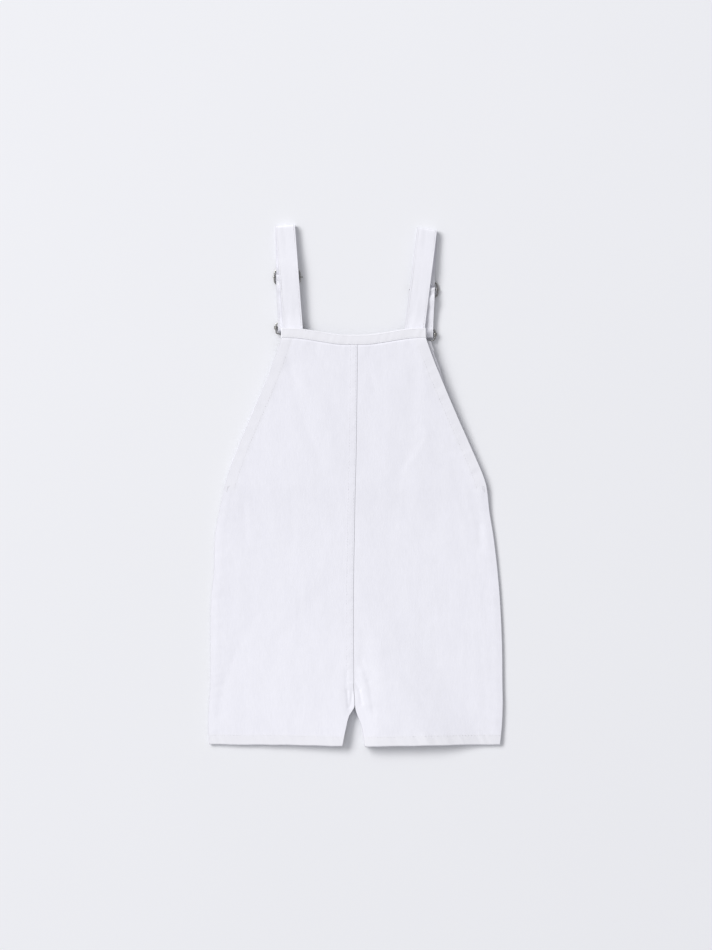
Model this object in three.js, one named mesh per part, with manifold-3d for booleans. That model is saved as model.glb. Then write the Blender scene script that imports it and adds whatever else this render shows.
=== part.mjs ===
// Denim dungarees for a small child, white, with short legs, lying back side up on a flat surface.
// Millimetres. X runs across the garment, Y from the leg hems up to the shoulder folds, Z up from the surface.
// The two front panels lie underneath, the two back panels lie on them, and each strap runs up from the back's
// top band, folds over at the shoulder, and comes down underneath through a slider and a hook to a bib button.
import * as THREE from "three";
import { mergeVertices } from "three/addons/utils/BufferGeometryUtils.js";
import Module from "manifold-3d";

const wasm = await Module();
wasm.setup();
const { clamp, degToRad, lerp, smoothstep } = THREE.MathUtils;

// Cloth.
const CLOTH = 1.0; // one layer of denim
const TURNED = 2.0; // an edge turned under and stitched
const BAND = 1.6; // the folded strip that finishes the top of the bib
const STRAP = 1.2; // a strap, pressed flat
const GAP = 0.3; // between pieces that are sewn together or lie on each other

// Widths and depths of what is sewn.
const ARMHOLE_TURN = 12;
const HEM_TURN = 15;
const SEAM_ALLOWANCE = 10;
const BAND_DEPTH = 10;
const STRAP_WIDTH = 20;

// Metal fittings for a 20 mm strap.
const WIRE = 1.5; // wire diameter
const FITTING_WIDTH = 28; // over the wire
const FITTING_CORNER = 3;
const SLIDER_HEIGHT = 16.5;
const KNOB_RADIUS = 1.95; // the rolled ends of a crossbar
const HOOK_LENGTH = 30; // from the bar that holds the strap to the button's shank
const HOOK_SHOULDER = 9.5; // where the hook's sides turn in
const HOOK_NECK = 17; // where they run side by side
const BUTTON_RADIUS = 7;
const CAP_HEIGHT = 2.2;
const SHANK_RADIUS = 2.3;
const PIN_RADIUS = 1.3;
const TACK_RADIUS = 4.2;
const TACK_HEIGHT = 0.6;
const WIRE_SIDES = 8;

// How high the layers lie.
const BIB_LIFT = 4.3; // the front's corners, on the buttons and hooks
const BACK_LIFT = 5.1; // the back's corners, over the same fittings
const BAND_LEVEL = 3.4; // underside of the back's band, away from the corners
const EDGE_RADIUS = 1.6; // where the back turns down to a side seam
const WALL_FOOT = CLOTH + GAP; // where that turned wall ends, just above the front
const HEM_DROP = 0.5; // rounding of a folded hem

// The back seen from above: the two sides and the centre seam at each level.
const BACK = [
  { y: 148, left: -74.2, seam: 1.8, right: 70.4, level: 4.6 },
  { y: 126, left: -81.2, seam: 1.8, right: 78.2, level: 4.5 },
  { y: 100, left: -91.2, seam: 1.6, right: 88.6, level: 4.4 },
  { y: 70, left: -104.0, seam: 1.2, right: 101.4, level: 4.3 },
  { y: 38, left: -117.5, seam: 0.8, right: 115.6, level: 4.2 },
  { y: 10, left: -127.8, seam: 0.1, right: 127.7, level: 4.2 },
  { y: -3, left: -131.3, seam: -0.2, right: 131.4, level: 4.2 },
  { y: -26, left: -136.3, seam: -0.7, right: 134.1, level: 4.2 },
  { y: -52, left: -140.8, seam: -1.1, right: 138.3, level: 4.2 },
  { y: -86, left: -141.7, seam: -1.8, right: 142.3, level: 4.1 },
  { y: -116, left: -144.8, seam: -2.0, right: 144.8, level: 4.1 },
  { y: -160, left: -145.3, seam: -2.0, right: 146.8, level: 4.2 },
  { y: -198, left: -145.3, seam: -1.8, right: 147.2, level: 4.3 },
  { y: -218, left: -146.6, seam: -1.8, right: 147.5, level: 4.5 },
  { y: -240, left: -147.5, seam: -1.8, right: 146.6, level: 4.8 },
  { y: -259, left: -146.4, seam: -1.8, right: 144.6, level: 4.8 },
];

// The inner edges of the legs below the crotch, on the back and on the front.
const CROTCH_Y = -199;
const LEGS = [
  { y: -199, backLeft: -1.9, backRight: -1.5, frontLeft: -3.0, frontRight: -2.4 },
  { y: -204, backLeft: -6.6, backRight: 1.2, frontLeft: -3.0, frontRight: -2.4 },
  { y: -210, backLeft: -9.0, backRight: 2.0, frontLeft: -3.0, frontRight: -2.4 },
  { y: -223, backLeft: -9.0, backRight: 1.2, frontLeft: -3.2, frontRight: -1.4 },
  { y: -233, backLeft: -8.6, backRight: 4.2, frontLeft: -6.4, frontRight: 5.0 },
  { y: -242, backLeft: -9.4, backRight: 7.0, frontLeft: -10.2, frontRight: 8.0 },
  { y: -252, backLeft: -11.6, backRight: 8.4, frontLeft: -12.4, frontRight: 9.4 },
  { y: -260, backLeft: -13.2, backRight: 10.6, frontLeft: -14.0, frontRight: 11.4 },
];

// Soft folds in the back: a line on the cloth, how far it reaches to each side, and how high it stands.
const FOLDS = [
  { name: "right leg, raised hem", x1: 18, y1: -238, x2: 58, y2: -262, reach: 36, rise: 4.4 },
  { name: "left leg, raised inner edge", x1: -6, y1: -212, x2: -16, y2: -262, reach: 24, rise: 3.9 },
  { name: "drag from the crotch to the right hem", x1: 20, y1: -150, x2: 92, y2: -236, reach: 15, rise: -0.9 },
  { name: "crotch fold, right", x1: 9, y1: -180, x2: 19, y2: -222, reach: 4.5, rise: -1.0 },
  { name: "crotch ridge, right", x1: 2.5, y1: -196, x2: 8, y2: -224, reach: 4, rise: 1.2 },
  { name: "crotch fold, left", x1: -9, y1: -188, x2: -13, y2: -214, reach: 4, rise: -0.6 },
  { name: "left leg, side to hem", x1: -114, y1: -148, x2: -139, y2: -232, reach: 9, rise: -0.9 },
  { name: "left leg, middle", x1: -62, y1: -120, x2: -78, y2: -226, reach: 26, rise: 0.6 },
  { name: "right bib, upper valley", x1: 59, y1: 112, x2: 57, y2: 56, reach: 6, rise: -0.8 },
  { name: "right bib, lower valley", x1: 60, y1: 54, x2: 41, y2: 4, reach: 6, rise: -0.9 },
  { name: "right bib, ridge", x1: 74, y1: 90, x2: 60, y2: -40, reach: 13, rise: 0.7 },
  { name: "right bib, inner ridge", x1: 36, y1: 96, x2: 26, y2: 10, reach: 14, rise: 0.6 },
  { name: "left bib, valley", x1: -65, y1: 118, x2: -32, y2: 6, reach: 8, rise: -0.7 },
  { name: "left bib, ridge", x1: -44, y1: 112, x2: -18, y2: 30, reach: 15, rise: 0.5 },
  { name: "left hip crease", x1: -108, y1: 20, x2: -113, y2: -54, reach: 5, rise: -0.6 },
  { name: "right hip crease", x1: 118, y1: -6, x2: 125, y2: -58, reach: 6, rise: -0.6 },
  { name: "seat, broad rise", x1: -10, y1: -60, x2: -40, y2: -170, reach: 50, rise: 0.5 },
];

// Each shoulder strap: where its upper run leaves the back, its fold, and the lower run to the hook's bar.
const STRAPS = {
  left: {
    baseX: -62.0, foldX: -70.3, foldY: 260.15, foldSlope: 0.075,
    sliderX: -67.8, sliderY: 208.5, endX: -67.5, barY: 163.8,
  },
  right: {
    baseX: 58.2, foldX: 71.4, foldY: 257, foldSlope: -0.17,
    sliderX: 70.6, sliderY: 195.8, endX: 67.6, barY: 157.5,
  },
};
const STRAP_BASE_Y = 149;
const UPPER_RUN = [
  { y: 149, z: 7.5 },
  { y: 166, z: 7.3 },
  { y: 216, z: 6.9 },
  { y: 236, z: 5.5 },
  { y: 254, z: 4.8 },
];

// How high the wires lie: the slider's frame, its crossbar over two layers of strap, and the hook at the bar
// that holds the strap and at the button's shank.
const SLIDER_Z = KNOB_RADIUS;
const SLIDER_BAR_Z = 2 * (STRAP + GAP) + WIRE / 2;
const HOOK_Z = { bar: 2.6, shank: CAP_HEIGHT + GAP + WIRE / 2 };

// A smooth curve through one column of a table, read at a level y.
function column(table, name) {
  const rows = [...table].sort((a, b) => a.y - b.y);
  const slope = rows.map((row, i) => {
    const below = rows[Math.max(i - 1, 0)];
    const above = rows[Math.min(i + 1, rows.length - 1)];
    return (above[name] - below[name]) / (above.y - below.y);
  });
  return (y) => {
    const level = clamp(y, rows[0].y, rows[rows.length - 1].y);
    const i = clamp(rows.findIndex((row) => row.y > level) - 1, -1, rows.length - 2);
    const k = i < 0 ? rows.length - 2 : i;
    const span = rows[k + 1].y - rows[k].y;
    const t = (level - rows[k].y) / span;
    const start = rows[k][name] * (1 + 2 * t) * (1 - t) ** 2 + slope[k] * span * t * (1 - t) ** 2;
    const end = rows[k + 1][name] * (3 - 2 * t) * t ** 2 + slope[k + 1] * span * t ** 2 * (t - 1);
    return start + end;
  };
}

const backLeft = column(BACK, "left");
const backRight = column(BACK, "right");
const centreSeam = column(BACK, "seam");
const backLevel = column(BACK, "level");
const legEdge = Object.fromEntries(
  ["backLeft", "backRight", "frontLeft", "frontRight"].map((name) => [name, column(LEGS, name)]),
);

// The curved top edge of the back's band, and of the front's, which lies a little lower.
const backTopEdge = (x) => 157.2 - 6.9 * (1 - smoothstep(Math.abs(x + 1), 6, 66));
const frontTopEdge = (x) => 147 - 0.036 * x - 4 * (1 - smoothstep(Math.abs(x), 4, 60));
// The leg hems, which dip a little towards the inner seams.
const hemEdge = (x) => -259.45 - 1.4 * (1 - smoothstep(Math.abs(x), 10, 90));

const BUTTONS = {
  left: new THREE.Vector2(STRAPS.left.endX + 2.5, STRAPS.left.barY - HOOK_LENGTH),
  right: new THREE.Vector2(STRAPS.right.endX - 3.5, STRAPS.right.barY - HOOK_LENGTH),
};

// Distance from a point to a line between two others.
function distanceToLine(x, y, x1, y1, x2, y2) {
  const run = new THREE.Vector2(x2 - x1, y2 - y1);
  const share = clamp(((x - x1) * run.x + (y - y1) * run.y) / run.lengthSq(), 0, 1);
  return Math.hypot(x - x1 - share * run.x, y - y1 - share * run.y);
}

// How much the bib's corners are held up by the fittings under them, from 0 to 1.
function cornerShare(x, y) {
  const side = x < 0 ? "left" : "right";
  const button = BUTTONS[side];
  const away = distanceToLine(x, y, button.x, button.y, STRAPS[side].endX, STRAPS[side].barY);
  return 1 - smoothstep(away, 12, 80);
}

function foldHeight(x, y) {
  return FOLDS.reduce((sum, fold) => {
    const away = distanceToLine(x, y, fold.x1, fold.y1, fold.x2, fold.y2) / fold.reach;
    return sum + fold.rise * Math.exp(-away * away);
  }, 0);
}

// 1 along the armhole, 0 along the side seam under it.
const UNDERARM_Y = -1;
const armholeShare = (y, from, to) => smoothstep(y, from, to);

// The back's outer face, with the ridges that the turned allowances make under the cloth.
function backTop(x, y, fromSide, fromSeam, isLeft) {
  const open = armholeShare(y, UNDERARM_Y - 7, UNDERARM_Y);
  const sideDrop = lerp(0.7, 0, open) * (1 - smoothstep(fromSide, 0, 14));
  const allowance = lerp(0.4, 0, open) * (1 - smoothstep(fromSide, SEAM_ALLOWANCE - 2, SEAM_ALLOWANCE + 1));
  const felled = isLeft && y > CROTCH_Y;
  const fell = felled ? 0.4 * (1 - smoothstep(fromSeam, SEAM_ALLOWANCE - 1.5, SEAM_ALLOWANCE + 0.5)) : 0;
  const quiet = lerp(0.35, 1, smoothstep(Math.min(fromSide, fromSeam + 8), 0, 16));
  return backLevel(y) + BACK_LIFT * cornerShare(x, y) + foldHeight(x, y) * quiet - sideDrop + allowance + fell;
}

// Thickness of the cloth where its edges are turned under.
function thickness(fromSide, fromHem, open) {
  const armhole = open * (1 - smoothstep(fromSide, ARMHOLE_TURN - 1, ARMHOLE_TURN + 1));
  const hem = (1 - smoothstep(fromHem, HEM_TURN - 1, HEM_TURN + 1)) * smoothstep(fromSide, 2, 4);
  return CLOTH + (TURNED - CLOTH) * Math.max(armhole, hem);
}

// The last stations of a panel at one of its edges: a turned-down wall where the panels are sewn together at a
// side, and a square, slightly rounded edge elsewhere. Each is [distance in, height of the outer face, distance
// in and height of the inner face].
function edgeStations(top, cloth, wall, foot = WALL_FOOT) {
  const inner = EDGE_RADIUS - CLOTH;
  const round = Math.min(0.6, cloth / 2);
  const centre = top - EDGE_RADIUS;
  const turned = [0, 45, 90].map((angle) => {
    const across = Math.sin(degToRad(angle));
    const up = Math.cos(degToRad(angle));
    const outerPoint = [EDGE_RADIUS * (1 - across), centre + EDGE_RADIUS * up];
    return [...outerPoint, EDGE_RADIUS - inner * across, centre + inner * up];
  });
  turned.push([0, foot, CLOTH, foot]);
  const square = [
    [EDGE_RADIUS, top, EDGE_RADIUS, top - cloth],
    [round * 0.3, top - round * 0.3, 1.1, top - cloth],
    [0, top - round, 0.7, top - cloth],
    [0, top - cloth + 0.25, 0.3, top - cloth],
  ];
  return turned.map((station, i) => station.map((value, k) => lerp(square[i][k], value, wall)));
}

// A closed solid between two grids of points of the same size: the cloth's outer face and its inner face.
function clothSolid(outer, inner) {
  const rows = outer.length;
  const columns = outer[0].length;
  const positions = [...outer.flat(), ...inner.flat()].flatMap((p) => [p.x, p.y, p.z]);
  const at = (layer, i, j) => layer * rows * columns + i * columns + j;
  const index = [];
  const quad = (a, b, c, d) => index.push(a, b, c, a, c, d);
  for (let i = 0; i < rows - 1; i++)
    for (let j = 0; j < columns - 1; j++) {
      quad(at(0, i, j), at(0, i + 1, j), at(0, i + 1, j + 1), at(0, i, j + 1));
      quad(at(1, i, j), at(1, i, j + 1), at(1, i + 1, j + 1), at(1, i + 1, j));
    }
  for (let j = 0; j < columns - 1; j++) {
    quad(at(0, 0, j), at(0, 0, j + 1), at(1, 0, j + 1), at(1, 0, j));
    quad(at(0, rows - 1, j), at(1, rows - 1, j), at(1, rows - 1, j + 1), at(0, rows - 1, j + 1));
  }
  for (let i = 0; i < rows - 1; i++) {
    quad(at(0, i, 0), at(1, i, 0), at(1, i + 1, 0), at(0, i + 1, 0));
    quad(at(0, i, columns - 1), at(0, i + 1, columns - 1), at(1, i + 1, columns - 1), at(1, i, columns - 1));
  }
  const geometry = new THREE.BufferGeometry();
  geometry.setAttribute("position", new THREE.Float32BufferAttribute(positions, 3));
  geometry.setIndex(index);
  return geometry;
}

// Levels from a top to a bottom, about a step apart, with both ends.
function levels(top, bottom, step) {
  const count = Math.max(1, Math.round((top - bottom) / step));
  return Array.from({ length: count + 1 }, (_, i) => lerp(top, bottom, i / count));
}

const BACK_ROWS = [
  ...levels(148, 68, 8.9),
  ...levels(56, 8, 12),
  ...levels(-1, -8, 7),
  ...levels(-20, -188, 14),
  ...levels(-197, -205, 4),
  ...levels(-211, -235, 8),
  -242.2, -244.6, -251, -257.6, -259,
];
const BACK_TOP_ROW = BACK_ROWS[0];
const BACK_HEM_ROW = BACK_ROWS.at(-1);
const BACK_MIDDLE_COLUMNS = 7;

// Half of the back, from the band at the bib's top to the leg's hem.
function backPanel(isLeft) {
  const away = isLeft ? -1 : 1;
  const side = isLeft ? backLeft : backRight;
  const leg = isLeft ? legEdge.backLeft : legEdge.backRight;
  const outer = [];
  const inner = [];
  BACK_ROWS.forEach((row) => {
    const sideX = side(row);
    const seamX = (row > CROTCH_Y ? centreSeam(row) : leg(row)) + (away * GAP) / 2;
    const width = Math.abs(sideX - seamX);
    const open = armholeShare(row, UNDERARM_Y - 7, UNDERARM_Y);
    const legWall = smoothstep(-row, -CROTCH_Y + 1, -CROTCH_Y + 10);
    const outerRow = [];
    const innerRow = [];
    const levelAt = (x) => {
      const bandShift = (backTopEdge(x) - BAND_DEPTH - GAP - BACK_TOP_ROW) * smoothstep(row, 100, BACK_TOP_ROW);
      const hemShift = (hemEdge(x) - BACK_HEM_ROW) * smoothstep(-row, 200, -BACK_HEM_ROW);
      return row + bandShift + hemShift;
    };
    const hemRounding = row === BACK_HEM_ROW ? HEM_DROP : 0;
    const topAt = (x, y, fromSeam) =>
      backTop(x, y, width - fromSeam, row > CROTCH_Y ? fromSeam : fromSeam + 4, isLeft) - hemRounding;
    const add = (fromSeam, z, innerFromSeam, innerZ) => {
      const x = seamX + away * fromSeam;
      const innerX = seamX + away * innerFromSeam;
      outerRow.push(new THREE.Vector3(x, levelAt(x), z));
      innerRow.push(new THREE.Vector3(innerX, levelAt(innerX), innerZ));
    };
    const flat = (fromSeam) => {
      const x = seamX + away * fromSeam;
      const z = topAt(x, levelAt(x), fromSeam);
      const cloth = thickness(width - fromSeam, row - BACK_HEM_ROW, open);
      add(fromSeam, z, fromSeam, z - cloth);
    };
    const seamTop = topAt(seamX, levelAt(seamX), EDGE_RADIUS) - lerp(0.15, 0.5, legWall);
    const legFoot = lerp(WALL_FOOT, TURNED + GAP, smoothstep(-row, 241, 244));
    edgeStations(seamTop, CLOTH, legWall, legFoot)
      .reverse()
      .forEach(([d, z, di, zi]) => add(d, z, di, zi));
    const nearSeam = [SEAM_ALLOWANCE - 1.5, SEAM_ALLOWANCE + 0.5];
    const nearSide = [ARMHOLE_TURN + 1, ARMHOLE_TURN - 1, 4].map((d) => width - d);
    nearSeam.forEach(flat);
    for (let k = 1; k <= BACK_MIDDLE_COLUMNS; k++)
      flat(lerp(nearSeam[1], nearSide[0], k / (BACK_MIDDLE_COLUMNS + 1)));
    nearSide.forEach(flat);
    const sideTop = topAt(sideX, levelAt(sideX), width);
    edgeStations(sideTop, lerp(CLOTH, TURNED, open), 1 - open).forEach(([d, z, di, zi]) =>
      add(width - d, z, width - di, zi),
    );
    outer.push(isLeft ? outerRow.reverse() : outerRow);
    inner.push(isLeft ? innerRow.reverse() : innerRow);
  });
  return clothSolid(outer, inner);
}

const FRONT_TOP_Y = 137;
const FRONT_ROWS = [
  ...levels(FRONT_TOP_Y, 73, 8),
  ...levels(56, 12, 14.6),
  ...levels(3, -17, 20),
  ...levels(-45, -185, 28),
  ...levels(-199, -235, 9),
  -242.2, -244.6, -257.6, -258.6,
];
const FRONT_HEM_ROW = FRONT_ROWS.at(-1);
const FRONT_INSET = 0.6; // how far the front's sides lie inside the back's
const FRONT_SHOWS = 5; // how far its bib shows past the back's at the right corner

// Where the front's side lies; its bib shows a little past the back's at the right corner.
function frontSide(isLeft, y) {
  if (isLeft) return backLeft(y) + lerp(FRONT_INSET, 1.4, smoothstep(y, 20, 100));
  const shows = FRONT_SHOWS * smoothstep(y, 88, 124);
  return backRight(y) - lerp(FRONT_INSET, 1.2, smoothstep(y, 20, 60)) + shows;
}

// Half of the front, lying under the back with its outer face down.
function frontPanel(isLeft) {
  const away = isLeft ? -1 : 1;
  const leg = isLeft ? legEdge.frontLeft : legEdge.frontRight;
  const outer = [];
  const inner = [];
  FRONT_ROWS.forEach((row) => {
    const sideX = frontSide(isLeft, row);
    const seamX = (row > CROTCH_Y ? centreSeam(row) - 0.9 : leg(row)) + (away * GAP) / 2;
    const width = Math.abs(sideX - seamX);
    const open = armholeShare(row, 4, 12);
    const nearSide = [14, 10.5, 4, 2, 0].map((d) => width - d);
    const middle = [0, 1, 2, 3, 4].map((k) => lerp(18, width - 20, k / 4));
    const stations = [0, 6, ...middle, ...nearSide];
    const outerRow = [];
    const innerRow = [];
    stations.forEach((fromSeam) => {
      const x = seamX + away * fromSeam;
      const bandShift = (frontTopEdge(x) - BAND_DEPTH - GAP - FRONT_TOP_Y) * smoothstep(row, 90, FRONT_TOP_Y);
      const hemShift = (hemEdge(x) - BACK_HEM_ROW) * smoothstep(-row, 200, -FRONT_HEM_ROW);
      const y = row + bandShift + hemShift;
      const low = BIB_LIFT * cornerShare(x, y);
      const cloth = thickness(width - fromSeam, row - FRONT_HEM_ROW, open);
      outerRow.push(new THREE.Vector3(x, y, low + cloth));
      innerRow.push(new THREE.Vector3(x, y, low));
    });
    outer.push(isLeft ? outerRow.reverse() : outerRow);
    inner.push(isLeft ? innerRow.reverse() : innerRow);
  });
  return clothSolid(outer, inner);
}

// The folded strip along the top of the back or the front.
function topBand(edge, leftX, rightX, underside, columns) {
  const outer = [];
  const inner = [];
  const across = [
    { fromTop: 0, drop: 0.45 },
    { fromTop: 0.8, drop: 0 },
    { fromTop: BAND_DEPTH / 2, drop: 0 },
    { fromTop: BAND_DEPTH - 0.6, drop: 0 },
    { fromTop: BAND_DEPTH, drop: 0.4 },
  ];
  across.forEach(({ fromTop, drop }) => {
    const outerRow = [];
    const innerRow = [];
    for (let j = 0; j <= columns; j++) {
      const share = fromTop / BAND_DEPTH;
      const x = lerp(lerp(leftX.top, leftX.foot, share), lerp(rightX.top, rightX.foot, share), j / columns);
      const y = edge(x) - fromTop;
      const low = underside(x, y);
      outerRow.push(new THREE.Vector3(x, y, low + BAND - drop));
      innerRow.push(new THREE.Vector3(x, y, low));
    }
    outer.push(outerRow);
    inner.push(innerRow);
  });
  return clothSolid(outer, inner);
}

// The strap's middle line from the back's band over the fold to the slider: points with the slope of its edge.
function strapLine({ baseX, foldX, endX, foldY, foldSlope, sliderX, sliderY, barY }) {
  const line = [];
  const foldRadius = (UPPER_RUN.at(-1).z - STRAP / 2) / 2;
  const turnY = foldY - foldRadius - STRAP / 2;
  const upperZ = column(UPPER_RUN, "z");
  const upperSlope = -(foldX - baseX) / (turnY - STRAP_BASE_Y);
  const stretch = turnY - UPPER_RUN.at(-1).y;
  levels(turnY, STRAP_BASE_Y, 6.5)
    .reverse()
    .forEach((y) => {
      const share = (y - STRAP_BASE_Y) / (turnY - STRAP_BASE_Y);
      const x = lerp(baseX, foldX, share);
      const z = upperZ(y - stretch * smoothstep(share, 0.7, 1));
      line.push({ x, y, z, slope: lerp(upperSlope, foldSlope, smoothstep(share, 0.9, 1)) });
    });
  [60, 30, 0, -30, -60].forEach((angle) => {
    line.push({
      x: foldX,
      y: turnY + foldRadius * Math.cos(degToRad(angle)),
      z: foldRadius + STRAP / 2 + foldRadius * Math.sin(degToRad(angle)),
      slope: foldSlope,
    });
  });
  const barReach = SLIDER_HEIGHT / 2 - WIRE / 2;
  const overBar = SLIDER_Z + WIRE / 2 + GAP;
  const wrap = WIRE / 2 + GAP + STRAP / 2;
  const bump = (y, at) => Math.cos((Math.PI / 2) * Math.min(1, Math.abs(y - at) / 7.2)) ** 2;
  const mainZ = (y) =>
    STRAP / 2 +
    overBar * (bump(y, sliderY + barReach) + bump(y, sliderY - barReach)) +
    (HOOK_Z.bar - wrap - STRAP / 2) * (1 - smoothstep(y, barY, barY + 16));
  const aboveSlider = (y) => lerp(sliderX, foldX, smoothstep(y, sliderY, turnY));
  const belowSlider = (y) => lerp(endX, sliderX, smoothstep(y, barY, sliderY));
  const runX = (y) => (y > sliderY ? aboveSlider(y) : belowSlider(y));
  const plain = (y, z) => line.push({ x: runX(y), y, z, slope: foldSlope * smoothstep(y, turnY - 22, turnY) });
  levels(turnY, sliderY + 14, 8).forEach((y) => plain(y, mainZ(y)));
  levels(sliderY + 11.5, sliderY - 11.5, 2.55).forEach((y) => plain(y, mainZ(y)));
  levels(sliderY - 16, barY, 6.5).forEach((y) => plain(y, mainZ(y)));
  [-120, -150, -180, -210, -240].forEach((angle) =>
    plain(barY + wrap * Math.cos(degToRad(angle)), HOOK_Z.bar + wrap * Math.sin(degToRad(angle))),
  );
  const layer = STRAP + GAP;
  const endLift = HOOK_Z.bar + wrap - mainZ(barY) - layer;
  const middleLift = SLIDER_BAR_Z + wrap - mainZ(sliderY) - layer;
  const returnZ = (y) => {
    const atHook = endLift * (1 - smoothstep(y, barY, barY + 15));
    const atSlider = middleLift * smoothstep(y, sliderY - 6, sliderY);
    return mainZ(y) + layer + atHook + atSlider;
  };
  levels(sliderY - 10, barY, 6.5)
    .reverse()
    .forEach((y) => plain(y, returnZ(y)));
  levels(sliderY, sliderY - 8, 2)
    .reverse()
    .forEach((y) => plain(y, returnZ(y)));
  [60, 30, 0, -30, -60, -85].forEach((angle) =>
    plain(sliderY + wrap * Math.cos(degToRad(angle)), SLIDER_BAR_Z + wrap * Math.sin(degToRad(angle))),
  );
  return line;
}


// A strap with softly rounded long edges, swept along its line.
function strap(line) {
  const half = STRAP_WIDTH / 2;
  const section = [
    [-half + 0.7, STRAP / 2], [half - 0.7, STRAP / 2], [half, 0.25], [half, -0.25],
    [half - 0.7, -STRAP / 2], [-half + 0.7, -STRAP / 2], [-half, -0.25], [-half, 0.25],
  ];
  const rings = line.map(({ x, y, z, slope }, i) => {
    const before = line[Math.max(i - 1, 0)];
    const after = line[Math.min(i + 1, line.length - 1)];
    const across = new THREE.Vector3(1, slope, 0).normalize();
    const run = new THREE.Vector3(0, after.y - before.y, after.z - before.z).normalize();
    const up = new THREE.Vector3().crossVectors(across, run).normalize();
    const middle = new THREE.Vector3(x, y, z);
    return section.map(([u, v]) => middle.clone().addScaledVector(across, u).addScaledVector(up, v));
  });
  const sides = section.length;
  const positions = rings.flat().flatMap((p) => [p.x, p.y, p.z]);
  const index = [];
  for (let i = 0; i < rings.length - 1; i++)
    for (let j = 0; j < sides; j++) {
      const next = (j + 1) % sides;
      index.push(i * sides + j, i * sides + next, (i + 1) * sides + next);
      index.push(i * sides + j, (i + 1) * sides + next, (i + 1) * sides + j);
    }
  const last = (rings.length - 1) * sides;
  for (let j = 1; j < sides - 1; j++) {
    index.push(0, j + 1, j);
    index.push(last, last + j, last + j + 1);
  }
  const geometry = new THREE.BufferGeometry();
  geometry.setAttribute("position", new THREE.Float32BufferAttribute(positions, 3));
  geometry.setIndex(index);
  return geometry;
}

// Booleans on closed geometries.
function toManifold(geometry) {
  const plain = new THREE.BufferGeometry();
  plain.setAttribute("position", geometry.getAttribute("position"));
  if (geometry.index) plain.setIndex(geometry.index);
  const merged = mergeVertices(plain, 1e-4);
  return new wasm.Manifold(
    new wasm.Mesh({
      numProp: 3,
      vertProperties: Float32Array.from(merged.getAttribute("position").array),
      triVerts: Uint32Array.from(merged.index.array),
    }),
  );
}

function fromManifold(solid) {
  const mesh = solid.getMesh();
  const geometry = new THREE.BufferGeometry();
  geometry.setAttribute("position", new THREE.Float32BufferAttribute(Array.from(mesh.vertProperties), 3));
  geometry.setIndex(Array.from(mesh.triVerts));
  return geometry;
}

const fuse = (geometries) => fromManifold(geometries.map(toManifold).reduce((sum, next) => sum.add(next)));

// A round wire along a line of points; a closed line joins its own start.
function wire(points, closed, radius = WIRE / 2) {
  const count = points.length;
  const rings = points.map((point, i) => {
    const before = points[closed ? (i + count - 1) % count : Math.max(i - 1, 0)];
    const after = points[closed ? (i + 1) % count : Math.min(i + 1, count - 1)];
    const run = new THREE.Vector3().subVectors(after, before).normalize();
    const sideways = new THREE.Vector3(-run.y, run.x, 0);
    if (sideways.lengthSq() < 1e-6) sideways.set(0, 1, 0);
    sideways.normalize();
    const up = new THREE.Vector3().crossVectors(run, sideways).normalize();
    return Array.from({ length: WIRE_SIDES }, (_, k) => {
      const angle = (2 * Math.PI * (k + 0.5)) / WIRE_SIDES;
      return point
        .clone()
        .addScaledVector(sideways, radius * Math.cos(angle))
        .addScaledVector(up, radius * Math.sin(angle));
    });
  });
  const index = [];
  const stretches = closed ? count : count - 1;
  for (let i = 0; i < stretches; i++)
    for (let k = 0; k < WIRE_SIDES; k++) {
      const a = i * WIRE_SIDES + k;
      const b = i * WIRE_SIDES + ((k + 1) % WIRE_SIDES);
      const c = ((i + 1) % count) * WIRE_SIDES + ((k + 1) % WIRE_SIDES);
      const d = ((i + 1) % count) * WIRE_SIDES + k;
      index.push(a, b, c, a, c, d);
    }
  if (!closed)
    for (let k = 1; k < WIRE_SIDES - 1; k++) {
      const last = (count - 1) * WIRE_SIDES;
      index.push(0, k + 1, k);
      index.push(last, last + k, last + k + 1);
    }
  const geometry = new THREE.BufferGeometry();
  const positions = rings.flat().flatMap((p) => [p.x, p.y, p.z]);
  geometry.setAttribute("position", new THREE.Float32BufferAttribute(positions, 3));
  geometry.setIndex(index);
  return geometry;
}

function knob(x, y, z) {
  return new THREE.SphereGeometry(KNOB_RADIUS, 10, 6).translate(x, y, z);
}

// Points round a corner, from one heading to another, in degrees.
function corner(centreX, centreY, radius, from, to, z) {
  return [0, 1 / 3, 2 / 3, 1].map((share) => {
    const angle = degToRad(lerp(from, to, share));
    return new THREE.Vector3(centreX + radius * Math.cos(angle), centreY + radius * Math.sin(angle), z);
  });
}

// The slider: a rounded frame, and a crossbar whose ends are rolled round the frame's sides.
function slider({ sliderX, sliderY }) {
  const reachX = (FITTING_WIDTH - WIRE) / 2;
  const reachY = (SLIDER_HEIGHT - WIRE) / 2;
  const inX = reachX - FITTING_CORNER;
  const inY = reachY - FITTING_CORNER;
  const frame = [
    ...corner(inX, inY, FITTING_CORNER, 0, 90, SLIDER_Z),
    ...corner(-inX, inY, FITTING_CORNER, 90, 180, SLIDER_Z),
    ...corner(-inX, -inY, FITTING_CORNER, 180, 270, SLIDER_Z),
    ...corner(inX, -inY, FITTING_CORNER, 270, 360, SLIDER_Z),
  ];
  const rise = SLIDER_BAR_Z - SLIDER_Z;
  const bar = [
    [-reachX, 0.1],
    [-reachX + 0.9, 0.75],
    [-reachX + 2.4, 1],
    [reachX - 2.4, 1],
    [reachX - 0.9, 0.75],
    [reachX, 0.1],
  ].map(([x, share]) => new THREE.Vector3(x, 0, SLIDER_Z + rise * share));
  const pieces = [wire(frame, true), wire(bar, false), knob(-reachX, 0, SLIDER_Z), knob(reachX, 0, SLIDER_Z)];
  return fuse(pieces.map((piece) => piece.translate(sliderX, sliderY, 0)));
}

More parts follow.
